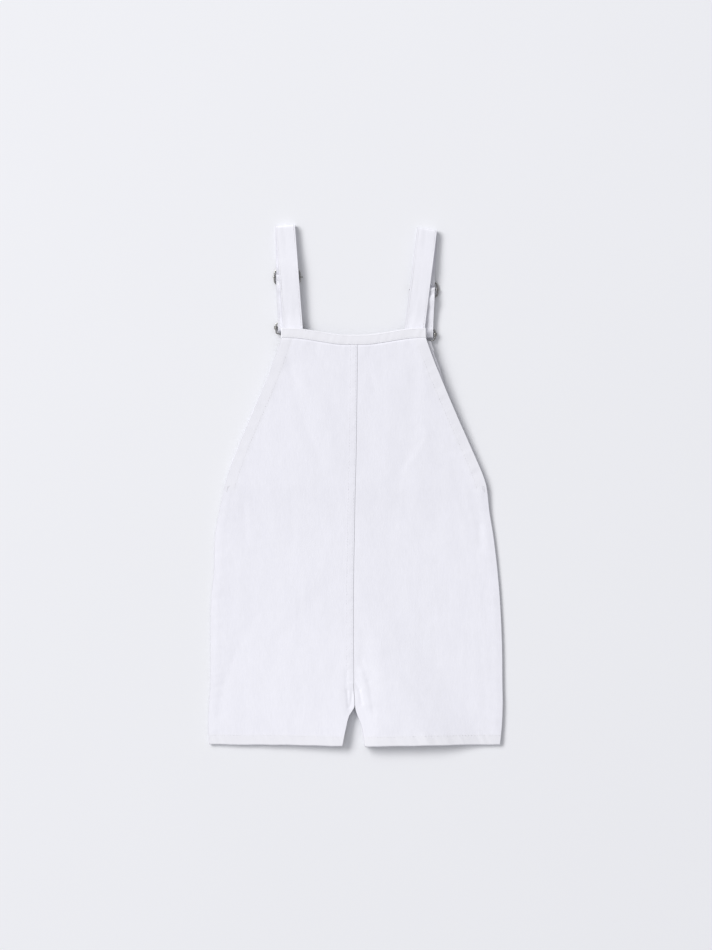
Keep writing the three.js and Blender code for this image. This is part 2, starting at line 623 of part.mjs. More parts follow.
// The hook: a wire ring that carries the strap and narrows to a slot whose round end holds the button's shank.
function hook({ endX, barY }, button) {
  const reachX = (FITTING_WIDTH - WIRE) / 2;
  const slot = SHANK_RADIUS + GAP + WIRE / 2;
  const inX = reachX - FITTING_CORNER;
  const lean = button.x - endX;
  const at = (x, down) => {
    const share = smoothstep(down, 0, HOOK_LENGTH);
    return new THREE.Vector3(endX + x + lean * share, barY - down, lerp(HOOK_Z.bar, HOOK_Z.shank, share));
  };
  const halfOutline = [
    at(inX + FITTING_CORNER * 0.55, 0.5),
    at(reachX - 0.3, 1.7),
    at(reachX, FITTING_CORNER + 0.4),
    at(reachX, HOOK_SHOULDER - 1.6),
    at(reachX - 1.1, HOOK_SHOULDER),
    at(slot + 1.4, HOOK_NECK - 1.6),
    at(slot + 0.2, HOOK_NECK + 0.6),
    at(slot, HOOK_LENGTH),
    ...[30, 60].map(degToRad).map((a) => at(slot * Math.cos(a), HOOK_LENGTH + slot * Math.sin(a))),
  ];
  const mirrored = [...halfOutline].reverse().map((p) => {
    const share = smoothstep(barY - p.y, 0, HOOK_LENGTH);
    return new THREE.Vector3(2 * (endX + lean * share) - p.x, p.y, p.z);
  });
  const outline = [at(inX, 0), ...halfOutline, at(0, HOOK_LENGTH + slot), ...mirrored, at(-inX, 0)];
  const crossY = HOOK_SHOULDER - 4.5;
  const knobs = [-reachX, reachX].map((x) => {
    const place = at(x, crossY);
    return knob(place.x, place.y, place.z);
  });
  return fuse([wire(outline.reverse(), true), ...knobs]);
}

// A tack button: cap and shank outside the bib, and the pin through the cloth.
function button(place, clothTop) {
  const profile = [
    [0, 0],
    [BUTTON_RADIUS - 1.2, 0],
    [BUTTON_RADIUS, 0.7],
    [BUTTON_RADIUS, 1.5],
    [BUTTON_RADIUS - 1, CAP_HEIGHT],
    [SHANK_RADIUS, CAP_HEIGHT],
    [SHANK_RADIUS, BIB_LIFT - GAP],
    [PIN_RADIUS, BIB_LIFT - GAP],
    [PIN_RADIUS, clothTop + GAP],
    [TACK_RADIUS, clothTop + GAP],
    [TACK_RADIUS - 0.5, clothTop + GAP + TACK_HEIGHT],
    [0, clothTop + GAP + TACK_HEIGHT],
  ].map(([radius, height]) => new THREE.Vector2(radius, height));
  return new THREE.LatheGeometry(profile, 20).rotateX(Math.PI / 2).translate(place.x, place.y, 0);
}

// The hole that the button's pin goes through.
function pierced(panel, place) {
  const pin = new THREE.CylinderGeometry(PIN_RADIUS + GAP, PIN_RADIUS + GAP, 20, 12);
  pin.rotateX(Math.PI / 2).translate(place.x, place.y, BIB_LIFT);
  return fromManifold(toManifold(panel).subtract(toManifold(pin)));
}

const denim = new THREE.MeshStandardMaterial({ color: 0xececf4, roughness: 0.9, metalness: 0 });
const nickel = new THREE.MeshStandardMaterial({ color: 0x9a9a98, roughness: 0.25, metalness: 1 });

const garment = new THREE.Group();

function add(name, geometry, material) {
  const mesh = new THREE.Mesh(geometry, material);
  mesh.name = name;
  garment.add(mesh);
}

const bandEnds = (edge, side) => ({ top: side(edge), foot: side(edge - BAND_DEPTH) });
const frontClothTop = BIB_LIFT + TURNED;

["left", "right"].forEach((side) => {
  const isLeft = side === "left";
  const away = isLeft ? -1 : 1;
  add(`back_${side}`, backPanel(isLeft), denim);
  add(`front_${side}`, pierced(frontPanel(isLeft), BUTTONS[side]), denim);
  add(`strap_${side}`, strap(strapLine(STRAPS[side])), denim);
  add(`slider_${side}`, slider(STRAPS[side]), nickel);
  add(`hook_${side}`, hook(STRAPS[side], BUTTONS[side]), nickel);
  add(`button_${side}`, button(BUTTONS[side], frontClothTop), nickel);
});

const backBandUnder = (x, y) => BAND_LEVEL + BACK_LIFT * cornerShare(x, y);
add(
  "back_band",
  topBand(backTopEdge, bandEnds(157, backLeft), bandEnds(157, backRight), backBandUnder, 30),
  denim,
);
const frontBandUnder = (x, y) => BIB_LIFT * cornerShare(x, y);
const frontLeftEdge = (y) => frontSide(true, y);
const frontRightEdge = (y) => frontSide(false, y);
add(
  "front_band",
  topBand(frontTopEdge, bandEnds(148, frontLeftEdge), bandEnds(145, frontRightEdge), frontBandUnder, 24),
  denim,
);

export default garment;
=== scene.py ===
import bisect
import math
import random

import bpy
from mathutils import Matrix, Vector, noise


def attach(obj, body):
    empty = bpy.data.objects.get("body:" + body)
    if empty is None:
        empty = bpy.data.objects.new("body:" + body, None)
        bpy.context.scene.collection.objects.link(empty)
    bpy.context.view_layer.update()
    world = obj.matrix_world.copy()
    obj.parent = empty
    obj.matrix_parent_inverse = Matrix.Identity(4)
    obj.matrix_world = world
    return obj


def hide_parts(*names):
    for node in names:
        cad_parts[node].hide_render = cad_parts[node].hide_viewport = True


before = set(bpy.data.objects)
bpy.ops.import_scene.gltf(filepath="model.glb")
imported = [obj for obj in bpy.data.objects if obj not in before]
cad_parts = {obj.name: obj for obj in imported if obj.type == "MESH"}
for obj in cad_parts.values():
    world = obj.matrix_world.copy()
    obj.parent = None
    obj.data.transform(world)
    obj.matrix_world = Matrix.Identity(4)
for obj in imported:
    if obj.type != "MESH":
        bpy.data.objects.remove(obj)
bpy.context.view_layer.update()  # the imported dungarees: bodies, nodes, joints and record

MM = 0.001

# Cloth
CLOTH = 1.0  # one layer of denim
TURNED = 2.0  # an edge turned under and stitched
BAND = 1.6  # the folded strip along the bib's top
STRAP = 1.2  # a strap, pressed flat
GAP = 0.3  # between pieces that lie on each other
SEAM_GAP = 0.06  # between the halves at a seam
GRID = 1.6  # between the points of a fine sheet
FINE_GRID = 0.9  # beside the centre seam and toward the hems
COARSE_GRID = 3.2

# Widths of what is sewn
ARMHOLE_TURN = 12
HEM_TURN = 10.5
SEAM_ALLOWANCE = 10
BAND_DEPTH = 10
STRAP_WIDTH = 20

# Stitching
STITCH_LENGTH = 2.5
STITCH_PITCH = 3.1
THREAD = 0.5
THREAD_PRESS = 0.6  # its height as a share of its width, pressed into the cloth
STITCH_LIFT = -0.02
STITCH_DRAW = 0.025  # how deep a row of stitches draws the cloth in
FELL_DRAW = 0.012  # and on the felled seam, which is thicker
BAND_DRAW = 0.02
STRAP_DRAW = 0.03
ARMHOLE_STITCH = 10.6  # from the armhole's edge
HEM_STITCH = 9.3  # from the hem's edge
FELL_STITCHES = (1.5, 6.8)  # from the centre seam
BAND_STITCHES = (1.4, 8.4)  # from the band's top
STRAP_STITCH = 1.7  # from each long edge of a strap

# Metal fittings
WIRE = 1.5
FITTING_WIDTH = 27
FITTING_CORNER = 4.2
SLIDER_HEIGHT = 16.5
THIN_WIRE = 1.1  # crossbars and collars
THIN_TURN = 1.35  # their turn round a ring's wire
BAR_END = 3  # a crossbar's end, clasped over the ring
HOOK_LENGTH = 30
HOOK_SHOULDER = 9.5
HOOK_NECK = 14
SHOULDER_RADIUS = 1.5
COLLAR_DROP = 5  # from the hook's bar to its collars
BUTTON_RADIUS = 7
CAP_HEIGHT = 2.2
CAP_ROUND = 0.7
RIM_WIDTH, RIM_HEIGHT = 0.9, 0.5
DISH_SLOPE, DISH_RISE = 2.2, 0.3
SHANK_RADIUS = 2.3
PIN_RADIUS = 1.3
TACK_RADIUS = 4.2
TACK_HEIGHT = 0.6

# How high the layers lie
BIB_LIFT = 4.3
BACK_LIFT = 4.45
BAND_LEVEL = 3.95
LEG_LIFT = 4.9  # both legs, at the crotch
RIGHT_LEG_LIFT = 6.6
EDGE_RADIUS = 1.15
EDGE_SQUEEZE = 0.2  # a pressed fold is flatter than round
EDGE_FLAT = 0.6  # from there on the panel is flat
EDGE_STEPS = 7  # points round a fold or down a side wall
WALL_STEP = 18  # degrees between them on a wall
SEAM_SINK = 0.03
SEAM_FOLD = 0.45  # a pressed seam's fold, as a share of the cloth
BACK_TUCK = 1.5  # how far a panel drops under its band
FRONT_TUCK = 0.6
TUCK_RUN = 1.6
SIDE_DROP = 0.3
ALLOWANCE_RIDGE = 0.06  # what is turned under shows as a low ridge
ARMHOLE_RIDGE = 0.09
HEM_RIDGE = 0.07
WALL_FOOT = CLOTH + GAP
SLIDER_Z = 1.35
SLIDER_BAR_Z = 2 * (STRAP + GAP) + WIRE / 2
HOOK_BAR_Z = 2.6
HOOK_SHANK_Z = CAP_HEIGHT + GAP + WIRE / 2

# How much of the turned cloth's tone shows, from 0 to 1
FELL_TONE = 0.08
STRAP_TONE = 0.35
ARMHOLE_TONE = 0.6

CROTCH_Y = -199
NOTCH_Y = -220  # where the legs part
UNDERARM_Y = -1
STRAP_BASE_Y = 149


def away_from_seam(side):
    return -1 if side == "left" else 1


def clamp(value, low, high):
    return max(low, min(high, value))


def lerp(start, end, share):
    return start + (end - start) * share


def bell(distance, reach):
    return math.exp(-((distance / reach) ** 2))


def smoothstep(value, low, high):
    share = clamp((value - low) / (high - low), 0, 1)
    return share * share * (3 - 2 * share)


def metres(x, y, z):
    return (x * MM, y * MM, z * MM)


def table(columns, *rows):
    names = columns.split()
    return [dict(zip(names, row)) for row in rows]


def column(rows, name):
    """A smooth curve through one column of a table, read at a level y."""
    rows = sorted(rows, key=lambda row: row["y"])
    levels = [row["y"] for row in rows]
    values = [row[name] for row in rows]
    last = len(rows) - 1
    around = [(max(i - 1, 0), min(i + 1, last)) for i in range(last + 1)]
    slopes = [(values[b] - values[a]) / (levels[b] - levels[a]) for a, b in around]

    def read(y):
        y = clamp(y, levels[0], levels[-1])
        k = clamp(bisect.bisect_right(levels, y) - 1, 0, last - 1)
        span = levels[k + 1] - levels[k]
        t = (y - levels[k]) / span
        start = values[k] * (1 + 2 * t) * (1 - t) ** 2 + slopes[k] * span * t * (1 - t) ** 2
        end = values[k + 1] * (3 - 2 * t) * t**2 + slopes[k + 1] * span * t**2 * (t - 1)
        return start + end

    return read


# The back seen from above: its two sides, the centre seam, and how high the cloth lies
BACK = table(
    "y left seam right level",
    (148, -74.2, 1.8, 70.4, 5.35),
    (126, -81.2, 1.8, 78.2, 5.25),
    (100, -91.2, 1.6, 88.6, 5.1),
    (70, -104.0, 1.2, 101.4, 4.9),
    (38, -117.5, 0.8, 115.6, 4.7),
    (10, -127.8, 0.1, 127.7, 4.4),
    (-3, -131.3, -0.2, 131.4, 4.2),
    (-26, -136.3, -0.7, 134.1, 3.4),
    (-52, -140.8, -1.1, 138.3, 2.9),
    (-86, -141.7, -1.8, 142.3, 2.7),
    (-116, -144.8, -2.0, 144.8, 2.6),
    (-160, -145.3, -2.0, 146.8, 2.7),
    (-198, -145.3, -1.8, 147.2, 2.9),
    (-218, -146.6, -1.8, 147.5, 3.1),
    (-240, -147.5, -1.8, 146.6, 3.3),
    (-259, -146.4, -1.8, 144.6, 3.4),
)

# The inner edges of the legs below the crotch
LEGS = table(
    "y back_left back_right front_left front_right",
    (-199, -1.95, -1.85, -2.6, -1.8),
    (-205, -1.7, -1.6, -2.4, -1.6),
    (-211, -1.2, -1.1, -2.2, -1.4),
    (-217, -0.9, -0.8, -2.2, -1.4),
    (-221, -1.1, -0.5, -2.4, -1.0),
    (-225, -3.4, 0.3, -4.2, -0.2),
    (-229, -6.0, 1.9, -7.2, 1.2),
    (-234, -7.7, 4.0, -8.9, 3.2),
    (-239, -8.8, 5.9, -10.2, 5.0),
    (-248, -10.8, 7.8, -12.2, 7.0),
    (-260, -13.2, 9.2, -14.6, 8.4),
)

# The largest folds: a line on the cloth, its reach to each side, and how high it stands
FOLDS = table(
    "name x1 y1 x2 y2 reach rise",
    ("crotch ridge, right", 6.5, -187, 13, -218, 5.2, 0.5),
    ("crotch crease, upper", 1.2, -195, 6.4, -205, 2.1, 0.15),
    ("crotch crease, lower", 6.4, -205, 9.0, -219, 2.2, 0.1),
    ("crotch pocket, left", -4.2, -206, -5, -226, 4.2, -0.45),
    ("crotch fold, left", -8.6, -187, -8.6, -209, 2.8, -0.14),
    ("left leg, side to hem", -114, -148, -139, -232, 9, -0.13),
    ("left leg, middle", -62, -120, -78, -226, 26, 0.3),
    ("right bib, upper valley", 59, 112, 57, 56, 6, -0.14),
    ("right bib, lower valley", 60, 54, 41, 4, 6, -0.15),
    ("right bib, ridge", 74, 90, 60, -40, 13, 0.2),
    ("right bib, inner ridge", 36, 96, 26, 10, 14, 0.2),
    ("left bib, valley", -65, 118, -32, 6, 8, -0.2),
    ("left bib, ridge", -44, 112, -18, 30, 15, 0.2),
    ("left hip crease", -108, 20, -113, -54, 5, -0.1),
    ("right hip crease", 118, -6, 125, -58, 6, -0.2),
    ("seat, broad rise", -10, -60, -40, -170, 50, 0.4),
)

# Finer creases, which only the dressed cloth has
CREASES = table(
    "name x1 y1 x2 y2 reach rise",
    ("under the band, left", -44, 140, -31, 122, 3.5, -0.12),
    ("under the band, right arc", 20, 145, 52, 147, 3, -0.12),
    ("beside the centre seam, right", 10, 124, 20, 94, 4, -0.11),
    ("right bib, short drag", 66, 47, 48, 20, 3, -0.09),
    ("right bib, ridge by the drag", 72, 52, 56, 22, 4, 0.08),
    ("right bib, upper ridge", 66, 128, 70, 92, 5, 0.15),
    ("left bib, corner drag", -70, 132, -60, 100, 4, -0.12),
    ("left bib, second drag", -52, 66, -34, 20, 3.5, -0.07),
    ("left hip, first streak", -112, -14, -108, -58, 2.6, -0.08),
    ("left hip, second streak", -104, 6, -101, -40, 2.6, -0.06),
    ("right hip, drag", 124, -40, 126, -62, 3, -0.17),
    ("right hip, long drag", 100, 10, 116, -44, 4, -0.1),
    ("left leg, upper drag", -100, -130, -124, -178, 4, -0.07),
    ("left leg, lower drag", -122, -172, -138, -222, 3, -0.08),
    ("left leg, inner drag", -20, -176, -40, -236, 6, -0.1),
    ("crotch seam, upper", -1.2, -195, 4.0, -204.5, 1.2, -0.26),
    ("crotch seam, lower", 4.0, -204.5, 6.0, -218, 1.2, -0.28),
    ("crotch groove, left", -8.4, -205, -7.2, -222, 1.3, -0.32),
    ("crotch groove, middle", -3.0, -206, -5.6, -221, 1.2, -0.22),
    ("crotch ridge, left", -5.8, -203, -6.4, -219, 1.5, 0.12),
    ("crotch, left short", -8.8, -186, -10, -206, 1.6, -0.1),
    ("crotch, left second", -5.4, -178, -7.4, -200, 1.8, 0.08),
    ("crotch, right short", 5, -172, 12, -196, 2.2, -0.17),
    ("crotch, right second", 13, -196, 18, -228, 2.4, -0.17),
    ("right leg, drag above the hem", 36, -168, 70, -222, 5, -0.15),
    ("right leg, second drag", 58, -158, 112, -214, 6, -0.12),
    ("right leg, third drag", 74, -206, 118, -240, 4, -0.15),
    ("right leg, bright bulge", 24, -192, 34, -236, 9, 0.25),
    ("right leg, outer streak", 124, -150, 130, -222, 4, -0.1),
    ("seat, left drag", -26, -96, -70, -150, 8, -0.1),
    ("seat, right drag", 30, -84, 76, -130, 8, -0.11),
    ("middle back, left", -60, -6, -66, -80, 6, -0.09),
    ("middle back, right", 58, -30, 84, -86, 7, -0.09),
)

# Each shoulder strap: its upper run from the bib's band, its fold, and the lower run to the hook's bar
STRAPS = {
    "left": dict(
        base_x=-62.0, fold_x=-70.3, fold_y=260.15, fold_slope=0.075,
        slider_x=-69.4, ring_x=-68.5, slider_y=208.5, end_x=-67.5, bar_y=163.8, slack=8.2, button_lean=2.5,
    ),
    "right": dict(
        base_x=58.2, fold_x=71.4, fold_y=257, fold_slope=-0.17,
        slider_x=69.2, ring_x=69.4, slider_y=195.8, end_x=67.6, bar_y=157.5, slack=8.0, button_lean=-3.5,
    ),
}
UPPER_RUN = table("y z", (149, 7.6), (158, 6.9), (170, 6.2), (188, 6.5), (216, 6.7), (236, 5.5), (254, 4.8))
SPAN_LIFT = 1.9  # the lower run bridges from the slider to the hook

BUTTONS = {
    side: (strap["end_x"] + strap["button_lean"], strap["bar_y"] - HOOK_LENGTH)
    for side, strap in STRAPS.items()
}

back_side = {"left": column(BACK, "left"), "right": column(BACK, "right")}
back_leg = {"left": column(LEGS, "back_left"), "right": column(LEGS, "back_right")}
front_leg = {"left": column(LEGS, "front_left"), "right": column(LEGS, "front_right")}
centre_seam = column(BACK, "seam")
back_level = column(BACK, "level")


BACK_TOP_Y, BACK_TOP_DIP = 157.2, 6.9
FRONT_TOP_Y, FRONT_TOP_DIP, FRONT_TOP_SLOPE = 147, 4, 0.036
HEM_Y, HEM_DIP = -259.45, 1.4


def back_top_edge(x):
    return BACK_TOP_Y - BACK_TOP_DIP * (1 - smoothstep(abs(x + 1), 6, 66))


def front_top_edge(x):
    return FRONT_TOP_Y - FRONT_TOP_SLOPE * x - FRONT_TOP_DIP * (1 - smoothstep(abs(x), 4, 60))


def hem_edge(x):
    return HEM_Y - HEM_DIP * (1 - smoothstep(abs(x), 10, 90))


def distance_to_line(x, y, x1, y1, x2, y2):
    run_x, run_y = x2 - x1, y2 - y1
    share = clamp(((x - x1) * run_x + (y - y1) * run_y) / (run_x * run_x + run_y * run_y), 0, 1)
    return math.hypot(x - x1 - share * run_x, y - y1 - share * run_y)


def corner_share(x, y):
    """How much the fittings under the bib's corners hold the front up, from 0 to 1."""
    side = "left" if x < 0 else "right"
    button_x, button_y = BUTTONS[side]
    away = distance_to_line(x, y, button_x, button_y, STRAPS[side]["end_x"], STRAPS[side]["bar_y"])
    return 1 - smoothstep(away, 12, 80)


def eased(value, low, high):
    """A ramp from 0 to 1 that starts softly and then keeps one slope."""
    share = clamp((value - low) / (high - low), 0, 1)
    return share * share / 0.64 if share < 0.4 else (share - 0.2) / 0.8


def bib_share(x, y):
    """How much the fittings hold the back up: drawn taut between its corners, it sinks to the hips."""
    from_side = min(x - back_side["left"](y), back_side["right"](y) - x)
    return eased(y, lerp(12, -45, smoothstep(from_side, -5, 75)), 143)


DRAG_X, DRAG_Y = 22, -129.6  # a place on the drag line over the right leg
DRAG_NORMAL_X, DRAG_NORMAL_Y = -0.851, -0.525  # toward the leg's inner side
DRAG_REACH = 30
LIFT_FROM_Y = 90  # below the middle, where the legs start to rise
LIFT_TO_Y = 259


def leg_lift(side, x, y):
    """How far the legs rise toward their open hems, the right one inside a drag line from the crotch."""
    toward_hem = eased(-y, LIFT_FROM_Y, LIFT_TO_Y)
    if side == "left":
        return LEG_LIFT * max(0, (x + 140) / 138) ** 1.3 * toward_hem
    inside = DRAG_NORMAL_X * (x - DRAG_X) + DRAG_NORMAL_Y * (y - DRAG_Y)
    lift = lerp(LEG_LIFT, RIGHT_LEG_LIFT, smoothstep(x, 0, 25))
    return lift * smoothstep(inside, -DRAG_REACH, DRAG_REACH) * toward_hem


def fold_height(folds, x, y):
    height = 0
    for fold in folds:
        away = distance_to_line(x, y, fold["x1"], fold["y1"], fold["x2"], fold["y2"]) / fold["reach"]
        if away < 3:
            height += fold["rise"] * math.exp(-away * away)
    return height


def ripples(seed, start, end, spacing, rise, width):
    """Uneven puckers along a seam: the function gives how high they stand at a place along it."""
    dice = random.Random(seed)
    rows = []
    place = start
    while place < end:
        sign = 1 if dice.random() < 0.55 else -1
        rows.append((place, sign * rise * dice.uniform(0.3, 1), width * dice.uniform(0.7, 1.5)))
        place += spacing * dice.uniform(0.55, 1.5)
    places = [row[0] for row in rows]
    reach = 4 * width

    def read(along):
        first = bisect.bisect_left(places, along - reach)
        last = bisect.bisect_right(places, along + reach)
        return sum(r * math.exp(-(((along - p) / w) ** 2)) for p, r, w in rows[first:last])

    return read


armhole_ripples = {"left": ripples(3, -10, 160, 6, 0.19, 1.9), "right": ripples(4, -10, 160, 6, 0.16, 1.9)}
hem_ripples = {"left": ripples(5, -150, 0, 6.5, 0.24, 2.0), "right": ripples(6, 0, 175, 8, 0.36, 2.1)}
fell_ripples = ripples(7, -210, 150, 5.2, 0.1, 1.5)
band_ripples = ripples(8, -80, 80, 5.0, 0.12, 1.7)
under_band_ripples = ripples(9, -80, 80, 8.5, 0.16, 3.0)
side_ripples = {"left": ripples(10, -260, 10, 9, 0.1, 2.6), "right": ripples(11, -260, 10, 9, 0.1, 2.6)}


UNEVENNESS = ((0.22, 62, 2.3), (0.07, 24, 7.1), (0.025, 8, 4.7))  # rise, size and seed of each grade


def wander(x, y, size, seed):
    """A slow, even-handed unevenness of cloth that has been washed and laid out by hand."""
    return noise.noise(Vector((x / size, y / size, seed)))


def sewn_relief(side, x, y, from_side, from_seam, openness):
    """The puckers along the armhole, the hem, the side seam and the centre seam."""
    from_hem = y - hem_edge(x)
    from_band = back_top_edge(x) - BAND_DEPTH - y
    height = openness * armhole_ripples[side](y + 0.45 * from_side) * bell(from_side - 8, 7)
    height += (1 - openness) * side_ripples[side](y - 0.3 * from_side) * bell(from_side - 7, 8)
    if from_hem < 44:
        lively = lerp(0.35, 1, smoothstep(x, 45, 66)) if side == "right" else 0.6
        height += lively * hem_ripples[side](x + 0.55 * from_hem) * bell(from_hem - 5, 8)
        height -= STITCH_DRAW * bell(from_hem - HEM_STITCH, 0.9)
    if y > CROTCH_Y:
        near = bell(from_seam - 3.6, 3.6) if side == "left" else 0.5 * bell(from_seam - 2, 4)
        height += fell_ripples(y + 0.3 * from_seam) * near
        if side == "left":
            height -= sum(FELL_DRAW * bell(from_seam - d, 0.7) for d in FELL_STITCHES)
    if from_band < 30:
        height += under_band_ripples(x + 0.3 * from_band) * bell(from_band, 9)
    height -= STITCH_DRAW * openness * bell(from_side - ARMHOLE_STITCH, 0.8)
    return height


def back_top(side, x, y, from_side, from_seam):
    """The back's outer face, with the ridges that the turned allowances make under the cloth."""
    openness = smoothstep(y, UNDERARM_Y - 7, UNDERARM_Y)
    side_drop = SIDE_DROP * (1 - openness) * (1 - smoothstep(from_side, -2, 8))
    under = 1 - smoothstep(from_side, SEAM_ALLOWANCE - 4, SEAM_ALLOWANCE)
    allowance = ALLOWANCE_RIDGE * (1 - openness) * under
    felled = side == "left" and y > CROTCH_Y
    fell = 1 - smoothstep(from_seam, SEAM_ALLOWANCE - 4.4, SEAM_ALLOWANCE - 1) if felled else 0
    armhole = ARMHOLE_RIDGE * openness * (1 - smoothstep(from_side, ARMHOLE_TURN - 3, ARMHOLE_TURN + 1.5))
    hem = HEM_RIDGE * (1 - smoothstep(y - hem_edge(x), HEM_TURN - 2, HEM_TURN + 2))
    quiet = lerp(0.35, 1, smoothstep(min(from_side, from_seam + 8), 0, 16))
    drape = fold_height(FOLDS, x, y) + fold_height(CREASES, x, y)
    drape += sum(rise * wander(x, y, size, seed) for rise, size, seed in UNEVENNESS)
    sewn = sewn_relief(side, x, y, from_side, from_seam, openness)
    base = back_level(y) + BACK_LIFT * bib_share(x, y) + leg_lift(side, x, y)
    return base + drape * quiet + sewn - side_drop + allowance + ALLOWANCE_RIDGE * fell + armhole + hem


def edge_angles(count=EDGE_STEPS):
    return [math.radians(86 * i / (count - 1)) for i in range(count)]


def edge_stations(top, cloth, wall, foot):
    """A fold or a side wall, as rows of distance in and height, outside and then inside."""
    inner = EDGE_RADIUS - CLOTH
    half = cloth / 2
    stations = []
    for i, angle in enumerate(edge_angles()):
        fold = (
            EDGE_SQUEEZE * half * (1 - math.sin(angle)),
            top - half + half * math.cos(angle),
            EDGE_SQUEEZE * half * (1 - math.sin(angle)),
            top - half - half * math.cos(angle),
        )
        if i < EDGE_STEPS - 1:
            turn = math.radians(WALL_STEP * i)
            across, up = math.sin(turn), math.cos(turn)
            centre = top - EDGE_RADIUS
            side = (
                EDGE_SQUEEZE * EDGE_RADIUS * (1 - across),
                centre + EDGE_RADIUS * up,
                EDGE_RADIUS - inner * across,
                centre + inner * up,
            )
        else:
            side = (0, foot, CLOTH, foot)
        stations.append([lerp(a, b, wall) for a, b in zip(fold, side)])
    return stations


def spread(start, end, step):
    count = max(1, round(abs(end - start) / step))
    return [lerp(start, end, i / count) for i in range(count + 1)]


def deselect():
    bpy.ops.object.select_all(action="DESELECT")


def apply_place():
    bpy.ops.object.transform_apply(location=True, rotation=True, scale=True)


def open_edit():
    """Opens the active piece in edit mode, with all of it selected."""
    bpy.ops.object.mode_set(mode="EDIT")
    bpy.ops.mesh.select_mode(type="VERT")
    bpy.ops.mesh.select_all(action="SELECT")


def close_edit():
    bpy.ops.object.mode_set(mode="OBJECT")


def new_object(name, points, faces, attributes=None):
    mesh = bpy.data.meshes.new(name)
    mesh.from_pydata(points, [], faces)
    for key, values in (attributes or {}).items():
        layer = mesh.attributes.new(key, "FLOAT", "POINT")
        layer.data.foreach_set("value", values)
    mesh.update()
    piece = bpy.data.objects.new(name, mesh)
    bpy.context.scene.collection.objects.link(piece)
    mesh.shade_smooth()
    return piece


def cloth_solid(name, outer, inner, attributes=None):
    """A closed sheet between two grids of points of the same size: its outer face and its inner face."""
    rows, columns = len(outer), len(outer[0])
    points = [metres(*p) for row in outer for p in row] + [metres(*p) for row in inner for p in row]
    size = rows * columns
    faces = []
    for i in range(rows - 1):
        for j in range(columns - 1):
            a, b = i * columns + j, i * columns + j + 1
            c, d = (i + 1) * columns + j + 1, (i + 1) * columns + j
            faces.append((a, d, c, b))
            faces.append((size + a, size + b, size + c, size + d))
    for j in range(columns - 1):
        end = (rows - 1) * columns
        faces.append((j, j + 1, size + j + 1, size + j))
        faces.append((end + j, size + end + j, size + end + j + 1, end + j + 1))
    for i in range(rows - 1):
        a, b = i * columns, (i + 1) * columns
        faces.append((a, size + a, size + b, b))
        a, b = a + columns - 1, b + columns - 1
        faces.append((a, b, size + b, size + a))
    doubled = {key: [v for row in grid for v in row] * 2 for key, grid in (attributes or {}).items()}
    return new_object(name, points, faces, doubled)


def turned_share(from_side, from_hem, openness):
    armhole = ARMHOLE_TONE * openness * (1 - smoothstep(from_side, ARMHOLE_TURN - 2, ARMHOLE_TURN + 2))
    hem = 1 - smoothstep(from_hem, HEM_TURN - 2, HEM_TURN + 1)
    return max(armhole, hem)


def edge_shade_share(d, width):
    """Painted shade at a piece's edge, from 1 on the very edge and its side wall to 0 on its face: it darkens
    the rim and wall that face the light.
    """
    return clamp((EDGE_FLAT - min(d, width - d)) / EDGE_FLAT * 1.5, 0, 1)


def fold_round(distance, thickness):
    """How full a folded edge is at a distance in from its line, as a share of its thickness."""
    pinch = clamp(distance / (thickness / 2), 0, 1)
    return math.sqrt(max(0.0025, 1 - (1 - pinch) ** 2))


def hem_rows():
    """Distances above the hem's edge that round it, as a fold."""
    return [TURNED / 2 * (1 - math.sin(angle)) for angle in edge_angles(6)]


BACK_TOP_ROW = 151.0
BACK_HEM_ROW = -259.0
FINE_FROM_ROW = -184.0
FINE_WIDTH = 20  # beside the centre seam
FINE_COLUMNS = 22
WIDE_COLUMNS = 74


